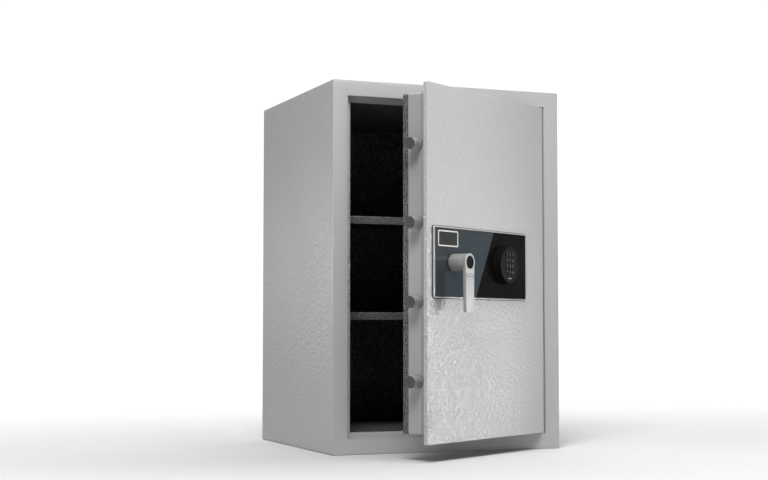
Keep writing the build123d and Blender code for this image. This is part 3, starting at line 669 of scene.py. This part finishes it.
@dataclass(frozen=True)
class TwoToneGloss(Finish):
    """Lacquered panel in two tones that meet at a slanted line."""

    left: Colour
    right: Colour
    foot: Spot
    head: Spot
    seam: float = 0.0004
    roughness: Span = (0.12, 0.18)
    specular: float = 0.4
    ripple: float = 160.0
    relief: float = 0.05
    depth: float = 0.0001
    smudge: float = 35.0

    def paint(self, graph: Graph) -> None:
        """Fills in the node tree."""
        axes = graph.add("ShaderNodeSeparateXYZ", {0: graph.on_shut_door()}).outputs
        slope = (self.head[0] - self.foot[0]) / (self.head[1] - self.foot[1])
        lean = graph.math("MULTIPLY", graph.math("SUBTRACT", axes[2], self.foot[1]), slope)
        past = graph.math("SUBTRACT", graph.math("SUBTRACT", axes[0], self.foot[0]), lean)
        share = graph.between(past, (-self.seam, self.seam), (0.0, 1.0))
        graph.colour(share, self.left, self.right)
        graph.bump(graph.noise(self.ripple, detail=1.0), self.relief, self.depth)
        graph.wear(self.roughness, graph.noise(self.smudge))
        graph.set(Specular_IOR_Level=self.specular)


@dataclass(frozen=True)
class Cast(Finish):
    """Poured filling with sand and small stones in it."""

    dark: Colour
    light: Colour
    stones: float = 140.0
    sand: float = 600.0
    relief: float = 0.4
    depth: float = 0.0005
    roughness: float = 0.9

    def paint(self, graph: Graph) -> None:
        """Fills in the node tree."""
        sand = graph.noise(self.sand, detail=4.0)
        share = graph.math("MULTIPLY", graph.pebbles(self.stones), sand)
        graph.colour(share, self.dark, self.light)
        graph.bump(sand, self.relief, self.depth)
        graph.set(Roughness=self.roughness)


@dataclass(frozen=True)
class FadingFloor(Finish):
    """Matt floor, darker round one point beside the safe as painted shade and lighter away from it,
    that ends in the white round it.
    """

    # The near colour is the painted shade at the point beside the safe.
    near: Colour = grey(0.555)
    far: Colour = grey(0.96)
    painted_shade_centre: Point = (-0.453, 1.398, 0.0)
    reach: float = 1.68
    fade: Span = (1.3, 3.8)
    roughness: float = 0.85
    specular: float = 0.1

    def paint(self, graph: Graph) -> None:
        """Fills in the node tree."""
        # Painted shade: the floor's colour is lowest at the point beside the safe and rises with
        # distance from it.
        share = graph.between(graph.distance(self.painted_shade_centre), (0.0, self.reach), (0.0, 1.0))
        graph.colour(share, self.near, self.far)
        fade = graph.between(graph.distance(grey(0.0)), self.fade, (1.0, 0.0), eased=True)
        graph.join(fade, graph.shader.inputs["Alpha"])
        graph.set(Roughness=self.roughness, Specular_IOR_Level=self.specular)


class Slot(Enum):
    """The record's material slots."""

    CABINET = "cabinet_paint"
    DOOR = "door_paint"
    PAN = "pan_paint"
    HAMMERTONE = "hammertone_paint"
    BARRIER = "barrier_concrete"
    SEAL = "seal_strip"
    BOLT = "bolt_steel"
    PLATED = "plated_steel"
    BARE = "bare_steel"
    BRONZE = "bronze"
    LOCK = "lock_zinc"
    HANDLE = "handle_metal"
    INSERT = "black_insert"
    BEZEL = "bezel_metal"
    FASCIA = "fascia_gloss"
    KEYPAD = "keypad_black"
    KEY = "key_rubber"
    BOARD = "board_green"
    BATTERY = "battery_case"
    CABLE = "cable_jacket"


class Trim(Enum):
    """Finishes of small surfaces, beside the slots' own."""

    # A near-black steel for the bolts' nose faces, as a painted reflection.
    BOLT_NOSE = "bolt_nose"
    # A darker metal for the handle's faces that turn away from the front, as painted shade.
    HANDLE_SIDE = "handle_side"
    # A blacker plastic for the keypad shell's faces that turn away from the front, as painted shade.
    KEYPAD_SIDE = "keypad_side"
    INK = "key_ink"
    LENS = "keypad_lens"
    BADGE_BORDER = "badge_border"
    BADGE_FIELD = "badge_field"


FINISHES: dict[Slot | Trim, Finish] = {
    Slot.CABINET: TexturedPaint(
        grey(0.448), grey(0.476), smooth_front=-0.249, strongest=(-0.27, -0.24, 0.42)
    ),
    Slot.DOOR: TexturedPaint(
        grey(0.448), grey(0.476), depth=0.0019,
        strongest=(-0.16, -0.5, 0.3), fade=(0.2, 0.5), weakest=0.15,
    ),
    # The pan's grey is darker than the door's paint; part of that is painted shade for the pan under
    # the plate's overhang.
    Slot.PAN: Skin(
        grey(0.32), grey(0.38), (0.34, 0.44), metallic=0.2, specular=0.5, cloud=7.0,
        grain=420.0, detail=1.0, relief=0.12, depth=0.0002, smudge=60.0,
    ),
    Slot.HAMMERTONE: TexturedPaint(
        (0.013, 0.013, 0.014), (0.196, 0.196, 0.2), pebble=0.0045, depth=0.0004,
        fleck=(0.4, 0.62), metallic=0.1, specular=0.3,
    ),
    Slot.BARRIER: Cast((0.3, 0.29, 0.27), (0.62, 0.6, 0.57)),
    # The seal strip's dark grey also stands in for the shade in the corner between the door plate and
    # the pan.
    Slot.SEAL: Skin(grey(0.239), grey(0.294)),
    Slot.BOLT: WorkedMetal(grey(0.42), grey(0.54), Grain.AROUND_BOLT, (0.35, 0.45), 0.6),
    Slot.PLATED: WorkedMetal((0.5, 0.49, 0.46), (0.66, 0.65, 0.62)),
    Slot.BARE: WorkedMetal(grey(0.34), grey(0.5), Grain.UP, (0.35, 0.5)),
    Slot.BRONZE: WorkedMetal((0.42, 0.28, 0.13), (0.62, 0.45, 0.22), Grain.NONE, (0.3, 0.45)),
    Slot.LOCK: WorkedMetal((0.5, 0.5, 0.51), (0.62, 0.62, 0.63), Grain.NONE, (0.4, 0.55)),
    Slot.HANDLE: WorkedMetal(grey(0.41), grey(0.5), Grain.UP, (0.45, 0.55), 0.4),
    Slot.INSERT: Skin(grey(0.003), grey(0.005), specular=0.1),
    Slot.BEZEL: WorkedMetal((0.5, 0.5, 0.51), (0.62, 0.62, 0.63), Grain.ACROSS, (0.35, 0.45), 0.6),
    Slot.FASCIA: TwoToneGloss(
        (0.039, 0.049, 0.057), (0.005, 0.004, 0.0035), (-0.0582, 0.333), (0.0117, 0.469)
    ),
    Slot.KEYPAD: Skin((0.006, 0.006, 0.007), (0.01, 0.01, 0.012), specular=0.12),
    Slot.KEY: Skin((0.008, 0.008, 0.01), (0.011, 0.011, 0.014), (0.5, 0.65), specular=0.12),
    Slot.BOARD: Skin((0.01, 0.08, 0.03), (0.02, 0.14, 0.06), (0.3, 0.4)),
    Slot.BATTERY: Skin(grey(0.012), grey(0.03)),
    Slot.CABLE: Skin(grey(0.012), grey(0.02)),
    # Painted reflection: the bolts' nose faces take this near-black steel for the dark that they
    # mirror.
    Trim.BOLT_NOSE: WorkedMetal(
        (0.05, 0.055, 0.055), (0.09, 0.095, 0.095), Grain.UP, (0.45, 0.55), 0.3
    ),
    # Painted shade: a darker copy of the handle's metal for the barrel and the lever's flanks, the
    # faces that turn away from the front.
    Trim.HANDLE_SIDE: WorkedMetal(
        (0.26, 0.26, 0.262), (0.33, 0.33, 0.332), Grain.UP, (0.4, 0.5), 0.4
    ),
    # Painted shade: a blacker, duller copy of the keypad's plastic for the shell's faces that turn
    # away from the front.
    Trim.KEYPAD_SIDE: Skin(grey(0.003), grey(0.005), (0.6, 0.75), specular=0.02),
    Trim.INK: Skin((0.17, 0.19, 0.23), (0.21, 0.23, 0.27), (0.5, 0.6)),
    Trim.LENS: Skin((0.26, 0.28, 0.29), (0.34, 0.36, 0.37), (0.15, 0.2)),
    Trim.BADGE_BORDER: Skin((0.5, 0.49, 0.42), (0.58, 0.57, 0.5)),
    Trim.BADGE_FIELD: Skin((0.008, 0.009, 0.01), (0.014, 0.015, 0.017)),
}


def material_of(choice: Slot | Trim) -> bpy.types.Material:
    """A finish's material, made the first time that it is asked for."""
    name = choice.value + "_finish"
    return bpy.data.materials.get(name) or FINISHES[choice].make(name)


# The pieces modelled by hand


@dataclass(frozen=True)
class LockingBolts:
    """Round bolts with a chamfered nose, milled flat where the carriage grips them."""

    heights: tuple[float, ...] = (0.16, 0.32, 0.48, 0.64)
    radius: float = 0.0125
    nose: float = -0.244
    length: float = 0.084
    depth: float = 0.036
    chamfer: float = 0.0012
    dish: float = 0.0004
    flat_from: float = -0.198
    flat_depth: float = 0.047

    def build(self) -> None:
        """Turns one bolt, mills its flat, and copies it to its heights."""
        inner = self.radius - 2 * self.chamfer
        rings = [
            (inner, self.dish),
            (inner + self.dish, 0.0),
            (self.radius - self.chamfer, 0.0),
            (self.radius, self.chamfer),
            (self.radius, self.length),
        ]
        place = Matrix.Translation((self.nose, FRONT + self.depth, 0.0)) @ ACROSS
        bolt = Bench.turned("locking_bolt", rings, place)
        past = 2 * self.radius
        low = (self.flat_from, FRONT + self.flat_depth, -past)
        bolt.carve(Bench.slab("mill", low, (self.nose + self.length + past, FRONT + past * 3, past)))
        nose_end = self.nose + self.chamfer
        # The nose faces get the near-black steel, as a painted reflection.
        bolt.trim(Slot.BOLT, Trim.BOLT_NOSE, lambda middle, normal: middle.x < nose_end)
        for number, height in enumerate(self.heights, start=1):
            copy = bolt.copied(f"locking_bolt_{number}", OPENED @ Matrix.Translation((0, 0, height)))
            copy.smooth().finish("boltwork", Slot.BOLT)
        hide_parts("locking_bolts")
        bolt.discard()


@dataclass(frozen=True)
class Handle:
    """Lever handle: a round barrel, a flat blade with two grooves, and a black insert.

    The insert's dish is given as shares of its radius and drops from its face.
    """

    x: float = -0.15
    z: float = 0.401
    sides: int = 96
    radius: float = 0.0178
    reach: float = -0.048
    blade: float = 0.0075
    root: float = -0.0043
    root_round: float = 0.0045
    root_steps: int = 6
    length: float = 0.101
    root_width: float = 0.0325
    tip_width: float = 0.0285
    tip_round: float = 0.003
    edge: float = 0.0009
    grooves: tuple[float, ...] = (0.0235, 0.0285)
    groove: float = 0.0012
    groove_depth: float = 0.0015
    insert: float = 0.0134
    recess: float = 0.0016
    insert_gap: float = 0.0001
    insert_proud: float = 0.0004
    insert_round: float = 0.0005
    dish: tuple[Ring, ...] = ((0.62, 0.0007), (0.68, 0.0001), (0.72, 0.0))

    def build(self) -> None:
        """Makes the three pieces."""
        self._barrel()
        self._lever()
        self._insert()

    def _barrel(self) -> None:
        """Turns the barrel, rounded where it meets the panel; all of it takes the darker metal, as
        painted shade.
        """
        rings = []
        for step in range(self.root_steps + 1):
            angle = math.radians(90.0 / self.root_steps * step)
            gap = self.root_round * (1.0 - math.sin(angle))
            rise = self.root_round * (1.0 - math.cos(angle))
            rings.append((self.radius - gap, self.root - rise))
        rings.append((self.radius, self.reach + self.blade))
        place = OPENED @ lathe_in(self.x, self.z)
        barrel = Bench.turned("handle_barrel_turned", rings, place, self.sides)
        # The whole barrel takes the darker metal, as painted shade.
        barrel.trim(Slot.HANDLE, Trim.HANDLE_SIDE, lambda middle, normal: True)
        barrel.smooth().finish("handle", Slot.HANDLE, "handle_barrel")

    def _lever(self) -> None:
        """Draws the blade out of the round head, then grooves and rounds it."""
        place = lathe_in(self.x, self.z)
        back = self.reach + self.blade
        rings = [(self.radius, self.reach), (self.radius, back)]
        lever = Bench.turned("handle_lever_blade", rings, place, self.sides)
        shoulder = math.sqrt(self.radius**2 - (self.root_width / 2) ** 2)
        middle_y = FRONT + (self.reach + back) / 2
        tip_z = self.z - self.length
        with lever.editing(Element.FACE):
            bpy.ops.mesh.select_all(action="SELECT")
            bpy.ops.mesh.bisect(
                plane_co=(self.x, middle_y, self.z - shoulder),
                plane_no=(0.0, 0.0, -1.0),
                clear_outer=True,
                use_fill=True,
                threshold=MERGE,
            )
            lever.pick(lambda middle, normal: normal.z < -SQUARE)
            lever.extrude((0.0, 0.0, shoulder - self.length))
            lever.scale((self.tip_width / self.root_width, 1.0, 1.0), (self.x, middle_y, tip_z))
        near_tip = tip_z + self.tip_round
        with lever.editing(Element.EDGE):
            lever.pick(lambda middle, way: abs(way.y) > SQUARE and middle.z < near_tip)
            lever.bevel(self.tip_round, segments=6)
        face, half = FRONT + self.reach, self.groove / 2
        for drop in self.grooves:
            z = self.z - drop
            low = (self.x - self.radius, face - self.groove_depth, z - half)
            high = (self.x + self.radius, face + self.groove_depth, z + half)
            lever.carve(Bench.slab("saw", low, high))
        seat = [(self.insert, 2 * self.reach), (self.insert, self.reach + self.recess)]
        lever.carve(Bench.turned("seat", seat, place, self.sides))
        lever.soften(self.edge, segments=3).smooth()
        # Faces that don't look out of the front take the darker metal, as painted shade.
        lever.trim(Slot.HANDLE, Trim.HANDLE_SIDE, lambda middle, normal: normal.y > -ROUGHLY)
        lever.placed(OPENED).finish("handle", Slot.HANDLE, "handle_lever")

    def _insert(self) -> None:
        """Turns the black insert, with a shallow dish in its face."""
        face = self.reach - self.insert_proud
        side = self.insert - self.insert_gap
        rings = [(self.insert * share, face + drop) for share, drop in self.dish]
        rings += [
            (side - self.insert_round, face),
            (side, face + self.insert_round),
            (side, self.reach + self.recess),
        ]
        insert = Bench.turned("handle_insert", rings, OPENED @ lathe_in(self.x, self.z))
        insert.smooth(30.0).finish("handle", Slot.INSERT, "handle_cap")


@dataclass(frozen=True)
class Fascia:
    """Bright rim on a black gasket round the panel, and a blank badge on it. The gasket's edge
    outside the rim is a painted shadow line.
    """

    left: float = -0.217
    right: float = 0.148
    low: float = 0.327
    high: float = 0.475
    corner: float = 0.006
    shadow_gasket: float = 0.0009
    shadow_gasket_inside: float = 0.0045
    rim: float = 0.005
    rim_outside: float = 0.0014
    rim_inside: float = 0.0038
    rim_roll: float = 0.001
    window_past: float = 0.01
    panel: float = 0.004
    badge: float = 0.0006
    badge_low: Spot = (-0.201, 0.4333)
    badge_high: Spot = (-0.1275, 0.4661)
    badge_border: float = 0.0026
    badge_step: float = 0.0002
    badge_corner: float = 0.004

    def build(self) -> None:
        """Makes the gasket with its painted shadow line, the rim and the badge."""
        # The black gasket shows as a dark line outside the rim: a painted shadow line at the rim's
        # edge.
        shadow_gasket = self._ring("fascia_shadow_gasket", self.shadow_gasket, 0.0, self.shadow_gasket_inside)
        shadow_gasket.placed(OPENED).finish("door", Slot.INSERT)
        self._rim()
        self._badge()

    def _ring(self, name: str, thickness: float, outside: float, inside: float) -> Bench:
        """Cuts a window out of a plate on the door.

        Args:
            name: The piece's name.
            thickness: How far it stands off the door.
            outside: How far its outer edge is inside the panel's outline.
            inside: How far its inner edge is inside the panel's outline.

        Returns:
            The bench with the flat ring.
        """
        cuts = ((name, 0.0, outside), ("window", self.window_past, inside))
        ring, window = (
            Bench.slab(
                piece,
                (self.left + inset, FRONT - thickness - deeper, self.low + inset),
                (self.right - inset, FRONT + deeper, self.high - inset),
            ).round_corners(self.corner - inset)
            for piece, deeper, inset in cuts
        )
        return ring.carve(window)

    def _rim(self) -> None:
        """Rolls the front edges of the bright ring."""
        top = FRONT - self.rim
        rim = self._ring("fascia_rim", self.rim, self.rim_outside, self.rim_inside)
        with rim.editing(Element.EDGE):
            rim.pick(lambda middle, way: abs(way.y) < NEAR and middle.y < top + NEAR)
            rim.bevel(self.rim_roll, segments=4)
        rim.smooth(35.0).placed(OPENED).finish("door", Slot.BEZEL, "fascia_bezel")

    def _badge(self) -> None:
        """Makes the blank badge: a dark field inside a pale border."""
        back = FRONT - self.panel
        top = back - self.badge
        low = (self.badge_low[0], top, self.badge_low[1])
        high = (self.badge_high[0], back, self.badge_high[1])
        badge = Bench.slab("blank_badge", low, high).round_corners(self.badge_corner)
        with badge.editing(Element.FACE):
            badge.pick(lambda middle, normal: normal.y < -SQUARE)
            bpy.ops.mesh.inset(thickness=self.badge_border, depth=0.0)
            bpy.ops.mesh.inset(thickness=self.badge_step, depth=-self.badge_step)
        field = top + self.badge_step - NEAR
        badge.trim(
            Trim.BADGE_BORDER, Trim.BADGE_FIELD,
            lambda middle, normal: normal.y < -ROUGHLY and middle.y > field,
        )
        badge.smooth(30.0).placed(OPENED).finish("door", Slot.BEZEL)


@dataclass(frozen=True)
class Keypad:
    """Round keypad: its shell, two small lenses, and twelve cushioned keys with legends.

    The shell's roll is given as distances out and back from the front's edge, a lens as its name,
    height on the door and half size, and the keys' cushion as insets and rises.
    """

    x: float = 0.049
    z: float = 0.403
    sides: int = 128
    # The cosine to the front below which a shell face takes the painted shade.
    shaded_side_from: float = 0.9
    base: float = 0.042
    front_radius: float = 0.039
    root: float = -0.004
    face: float = -0.022
    face_floor: float = -0.0214
    bore: float = 0.0347
    lip: float = 0.0003
    wall: float = 0.003
    foot: float = 0.0035
    foot_round: Ring = (0.0006, 0.0008)
    roll: tuple[Ring, ...] = (
        (0.0014, 0.006), (0.0003, 0.0028), (-0.0004, 0.0013), (-0.0014, 0.0004), (-0.0026, 0.0)
    )
    ledge: float = 0.0025
    ledge_width: float = 0.0015
    ledge_edge: float = 0.0008
    ledge_foot: float = 0.003
    lenses: tuple[tuple[str, float, float, float], ...] = (
        ("keypad_bar_lens", 0.374, 0.0072, 0.001),
        ("keypad_top_lens", 0.4395, 0.0042, 0.0009),
    )
    lens_proud: float = 0.0003
    lens_round: float = 0.9
    pitch_x: float = 0.0115
    pitch_z: float = 0.0126
    rise: float = 0.0031
    key_width: float = 0.0088
    key_height: float = 0.0094
    key_corner: float = 0.0024
    key_proud: float = 0.0012
    key_back: float = -0.0174
    cushion: tuple[Ring, ...] = ((0.0003, 0.00025), (0.0006, 0.00015), (0.001, 0.0001))
    flange: float = 0.0012
    flange_width: float = 0.0006
    legend_size: float = 0.008
    legend_relief: float = 0.00004
    rows: tuple[str, ...] = ("1 2 3", "4 5 6", "7 8 9", "star 0 hash")

    def build(self) -> None:
        """Makes the shell, the lenses, the keys and their legends."""
        self._shell()
        self._lenses()
        self._keys()

    def _shell(self) -> None:
        """Turns the shell: a flared foot, a rolled front edge and a ledge for the face; its faces
        that turn away from the front take a blacker copy of its plastic, as painted shade.
        """
        inner = self.front_radius - self.wall
        foot = self.root - self.foot
        ledge = self.face_floor + self.ledge
        ledge_in = self.bore - self.ledge_width
        rings = [
            (self.base, self.root),
            (self.base, foot + self.foot_round[1]),
            (self.base - self.foot_round[0], foot),
            *((self.front_radius + out, self.face + back) for out, back in self.roll),
            (self.bore + self.lip, self.face),
            (self.bore, self.face + self.lip),
            (self.bore, ledge),
            (ledge_in, ledge),
            (ledge_in, ledge + self.ledge_edge),
            (inner, ledge + self.ledge_foot),
            (inner, self.root),
        ]
        place = OPENED @ lathe_in(self.x, self.z)
        shell = Bench.turned("keypad_shell", rings, place, self.sides, hollow=True)
        front, side = OPENED.to_3x3() @ Vector((0.0, -1.0, 0.0)), self.shaded_side_from
        # Faces turned away from the front get the painted shade.
        shell.trim(Slot.KEYPAD, Trim.KEYPAD_SIDE, lambda middle, normal: normal.dot(front) < side)
        shell.smooth(35.0).finish("door", Slot.KEYPAD, "keypad_housing")

    def _lenses(self) -> None:
        """Makes the lenses, proud of the face by a hair."""
        floor = FRONT + self.face_floor
        for name, z, half_x, half_z in self.lenses:
            low = (self.x - half_x, floor - self.lens_proud, z - half_z)
            high = (self.x + half_x, floor, z + half_z)
            lens = Bench.slab(name, low, high).round_corners(half_z * self.lens_round, segments=4)
            lens.trim(Slot.KEYPAD, Trim.LENS, lambda middle, normal: normal.y < -ROUGHLY)
            lens.placed(OPENED).finish("door", Slot.KEYPAD)

    def _keys(self) -> None:
        """Makes one key, and copies it to its places with a legend on each copy."""
        key = self._key()
        for row, names in enumerate(self.rows):
            for column, name in enumerate(names.split()):
                x = self.x + (column - 1) * self.pitch_x
                z = self.z + self.rise + ((len(self.rows) - 1) / 2 - row) * self.pitch_z
                copy = key.copied(f"key_cap_{name}", OPENED @ Matrix.Translation((x, 0.0, z)))
                copy.smooth(50.0).finish(f"key_{name}", Slot.KEY, f"key_{name}")
                self._legend(name, x, z)
        key.discard()

    def _key(self) -> Bench:
        """Makes a key: a cushioned cap with a flange behind the face.

        Returns:
            The bench with the key, at the middle of the door's foot.
        """
        front = FRONT + self.face_floor - self.key_proud + sum(rise for _, rise in self.cushion)
        back = FRONT + self.key_back - self.flange
        half_x, half_z = self.key_width / 2, self.key_height / 2
        key = Bench.slab("key_cap", (-half_x, front, -half_z), (half_x, back, half_z))
        key.round_corners(self.key_corner)
        with key.editing(Element.FACE):
            key.pick(lambda middle, normal: normal.y < -SQUARE)
            for inset, rise in self.cushion:
                bpy.ops.mesh.inset(thickness=inset, depth=rise)
            key.pick(lambda middle, normal: normal.y > SQUARE)
            bpy.ops.mesh.inset(thickness=self.flange_width, use_outset=True)
            key.pick(lambda middle, normal: normal.y > SQUARE)
            key.extrude((0.0, self.flange, 0.0))
        return key

    def _legend(self, name: str, x: float, z: float) -> None:
        """Prints a key's legend on its cap.

        Args:
            name: The key's name.
            x: The key's place across the shut door.
            z: The key's height.
        """
        bpy.ops.object.text_add(location=(0.0, 0.0, 0.0))
        text = bpy.context.active_object.data
        text.body = {"star": "*", "hash": "#"}.get(name, name)
        text.size = self.legend_size
        text.align_x = text.align_y = "CENTER"
        text.extrude = self.legend_relief
        bpy.ops.object.convert(target="MESH")
        legend = Bench(bpy.context.active_object).named(f"legend_{name}")
        front = FRONT + self.face_floor - self.key_proud
        legend.placed(OPENED @ Matrix.Translation((x, front, z)) @ STANDING)
        legend.obj.data.materials.append(material_of(Trim.INK))
        legend.finish(f"key_{name}", Slot.KEY)


@dataclass(frozen=True)
class CoverScrews:
    """Button-head screws with a hex socket that hold the door's back cover.

    The dome is given as insets from the head's edge and drops from its crown.
    """

    across: float = 0.205
    heights: tuple[float, ...] = (0.0625, 0.2875, 0.5125, 0.7375)
    sides: int = 32
    shank: float = 0.0025
    tip: float = 0.057
    seat: float = 0.074
    head: float = 0.0045
    head_edge: float = 0.0008
    head_height: float = 0.0024
    dome: tuple[Ring, ...] = ((0.0004, 0.0008), (0.0012, 0.0002), (0.0022, 0.0))
    socket_sides: int = 6
    socket: float = 0.0017
    socket_depth: float = 0.0013
    socket_past: float = 0.001

    def build(self) -> None:
        """Turns one screw, presses its socket, and copies it to its places."""
        crown = self.seat + self.head_height
        rings = [
            (self.shank, self.tip),
            (self.shank, self.seat),
            (self.head, self.seat),
            (self.head, self.seat + self.head_edge),
            *((self.head - inset, crown - drop) for inset, drop in self.dome),
        ]
        screw = Bench.turned("cover_screw", rings, Matrix.Identity(4), self.sides)
        hole = [(self.socket, crown - self.socket_depth), (self.socket, crown + self.socket_past)]
        screw.carve(Bench.turned("socket", hole, Matrix.Identity(4), self.socket_sides))
        places = [(side * self.across, height) for side in (-1, 1) for height in self.heights]
        for number, (x, z) in enumerate(places, start=1):
            copy = screw.copied(f"cover_screw_{number}", OPENED @ lathe_in(x, z))
            copy.smooth().finish("door", Slot.PLATED)
        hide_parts("cover_screws")
        screw.discard()


@dataclass(frozen=True)
class Sheetwork:
    """Sheet-metal nodes with the rounded edges that paint leaves, and a strip on the jamb."""

    sources: dict[str, bpy.types.Object]
    nodes: tuple[tuple[str, str, Slot], ...] = (
        ("front_frame", "cabinet", Slot.CABINET),
        ("door_pan", "door", Slot.PAN),
        ("door_back_cover", "door", Slot.HAMMERTONE),
        ("dead_bar", "door", Slot.PAN),
        *((f"shelf_{piece}", "cabinet", Slot.HAMMERTONE) for piece in ("upper", "lower", "clips")),
        ("strike_channel", "cabinet", Slot.HAMMERTONE),
        ("hinge_channel", "cabinet", Slot.HAMMERTONE),
        ("rear_panel", "cabinet", Slot.CABINET),
    )
    edge: float = 0.0006
    flat_angle: float = 0.5
    fold_angle: float = 40.0
    shade_angle: float = 20.0
    strip_low: Point = (0.2353, -0.2485, 0.0345)
    strip_high: Point = (0.236, -0.234, 0.7655)
    strip_edge: float = 0.0002

    def build(self) -> None:
        """Merges a copy of each sheet and rounds it, and fits the strip beside the hinge edge."""
        for name, body, slot in self.nodes:
            copy = bpy.data.objects.new(f"{name}_rounded", self.sources[name].data.copy())
            link(copy)
            sheet = Bench(copy)
            with sheet.editing(Element.FACE):
                sheet.face_outwards()
                bpy.ops.mesh.select_all(action="SELECT")
                bpy.ops.mesh.dissolve_limited(angle_limit=math.radians(self.flat_angle))
            sheet.soften(self.edge, 2, self.fold_angle, clamp=False)
            sheet.smooth(self.shade_angle).finish(body, slot, name)
        strip = Bench.slab("jamb_strip", self.strip_low, self.strip_high)
        strip.soften(self.strip_edge, segments=2).finish("cabinet", Slot.CABINET)


# The studio


@dataclass(frozen=True)
class Softbox:
    """A soft light, in metres, watts and degrees.

    The watts are those of a light with no narrowing that is as bright along its axis.
    """

    name: str
    place: Point
    aim: Point
    size: tuple[float, float]
    watts: float
    spread: float = 180.0
    mirrored: bool = True

    def hang(self) -> None:
        """Adds the light."""
        data = bpy.data.lights.new(self.name, "AREA")
        data.shape = "RECTANGLE"
        data.size, data.size_y = self.size
        data.spread = math.radians(self.spread)
        half = data.spread / 2
        data.energy = self.watts * (1.0 - half / math.tan(half))
        light = bpy.data.objects.new(self.name, data)
        light.location = self.place
        away = Vector(self.place) - Vector(self.aim)
        light.rotation_euler = away.to_track_quat("Z", "Y").to_euler()
        light.visible_camera = False
        light.visible_glossy = self.mirrored
        link(light)


@dataclass(frozen=True)
class Studio:
    """The pale floor with its painted shade, the soft light and the camera.

    The white room's brightness is its left ramp times its back ramp, plus its up ramp. A ramp
    maps a span of the direction along its axis to a span of brightness.
    """

    camera_place: Point = (-1.3434, -3.2345, 0.2668)
    camera_turn: Point = (93.39, 0.0, -21.745)
    lens: float = 70.12
    sensor: float = 36.0
    floor_half: float = 3.8
    floor_place: Point = (0.05, -1.68, -0.0005)
    softboxes: tuple[Softbox, ...] = (
        Softbox("main", (-1.0, -1.8, 2.4), (-0.2, -0.3, 0.4), (1.0, 1.0), 60.5),
        Softbox("door", (2.08, -0.77, 0.5), (-0.15, -0.48, 0.5), (0.12, 0.12), 37.9, 30.0, False),
        Softbox("sheen", (2.08, -1.2, 0.5), (-0.15, -0.48, 0.4), (0.5, 1.0), 4.8, 60.0),
        Softbox("fill", (2.2, -0.85, 0.15), (-0.15, -0.48, 0.15), (0.8, 0.3), 1.5, 90.0, False),
        Softbox("glint", (2.08, -1.12, 0.08), (-0.15, -0.48, 0.1), (0.12, 0.12), 16.0, 30.0),
        Softbox("side", (-0.75, -0.32, 0.43), (-0.27, -0.2, 0.43), (0.15, 0.15), 0.75, 60.0),
        Softbox("graze", (-1.3, 2.0, 0.5), (-0.27, 0.0, 0.43), (0.4, 0.4), 1.0, 60.0),
        Softbox("low", (-2.4, -0.9, 0.15), (-0.25, -0.2, 0.1), (0.8, 0.25), 2.85),
        Softbox("top", (0.0, -0.72, 1.2), (0.0, -0.25, 0.75), (0.3, 0.3), 2.3),
        Softbox("high", (0.0, -0.6, 1.5), (0.0, -0.25, 0.7), (0.4, 0.4), 3.2, 60.0),
    )
    left: Ramp = (-0.4, 0.08, 0.377, 1.0)
    back: Ramp = (0.0, 0.7, 0.05, 1.06)
    up: Ramp = (0.6, 1.0, 0.0, 0.879)
    backdrop: float = 1.06

    def build(self) -> None:
        """Sets everything up."""
        self._camera()
        self._floor()
        for softbox in self.softboxes:
            softbox.hang()
        self._world()
        bpy.context.scene.view_settings.view_transform = "Standard"

    def _camera(self) -> None:
        """Puts the camera where the photograph was taken from."""
        data = bpy.data.cameras.new("camera")
        data.lens = self.lens
        data.sensor_width = self.sensor
        camera = bpy.data.objects.new("camera", data)
        camera.location = self.camera_place
        camera.rotation_euler = [math.radians(angle) for angle in self.camera_turn]
        link(camera)
        bpy.context.scene.camera = camera

    def _floor(self) -> None:
        """Lays the pale floor, with its painted shade round the safe."""
        bpy.ops.mesh.primitive_plane_add(size=2 * self.floor_half, location=self.floor_place)
        floor = bpy.context.active_object
        floor.name = "floor"
        floor.data.materials.append(FadingFloor().make("floor_painted_shade_finish"))

    def _world(self) -> None:
        """Lights the safe from the white room, and shows plain white behind it."""
        world = bpy.data.worlds.new("studio")
        world.use_nodes = True
        bpy.context.scene.world = world
        nodes = NodeTree(world.node_tree)
        way = nodes.add("ShaderNodeTexCoord", {}).outputs["Generated"]
        axes = nodes.add("ShaderNodeSeparateXYZ", {0: way}).outputs
        ramps = (self.left, self.back, self.up)
        room = nodes.math(
            "MULTIPLY_ADD",
            *(nodes.between(axis, ramp[:2], ramp[2:]) for axis, ramp in zip(axes, ramps)),
        )
        seen = nodes.add("ShaderNodeLightPath", {}).outputs["Is Camera Ray"]
        strength = nodes.math("MAXIMUM", room, nodes.math("MULTIPLY", seen, self.backdrop))
        background = world.node_tree.nodes["Background"]
        background.inputs["Color"].default_value = (1.0, 1.0, 1.0, 1.0)
        nodes.join(strength, background.inputs["Strength"])


def dress_nodes(frame: dict) -> None:
    """Gives every CAD node the finish of its slot in the record.
    """
    for part in frame["record"]["subparts"]:
        materials = frame["nodes"][part["node"]].data.materials
        finish = material_of(Slot(part["material_slot"]))
        if not len(materials):
            materials.append(finish)
        for index in range(len(materials)):
            materials[index] = finish


def main() -> None:
    """Dresses the safe and sets up the studio."""
    logging.basicConfig(level=logging.INFO, format="%(message)s")
    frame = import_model()
    bpy.ops.object.select_all(action="DESELECT")
    dress_nodes(frame)
    sheetwork = Sheetwork(frame["nodes"])
    for assembly in (LockingBolts(), Handle(), Fascia(), Keypad(), CoverScrews(), sheetwork):
        assembly.build()
    Studio().build()


if __name__ == "__main__":
    main()
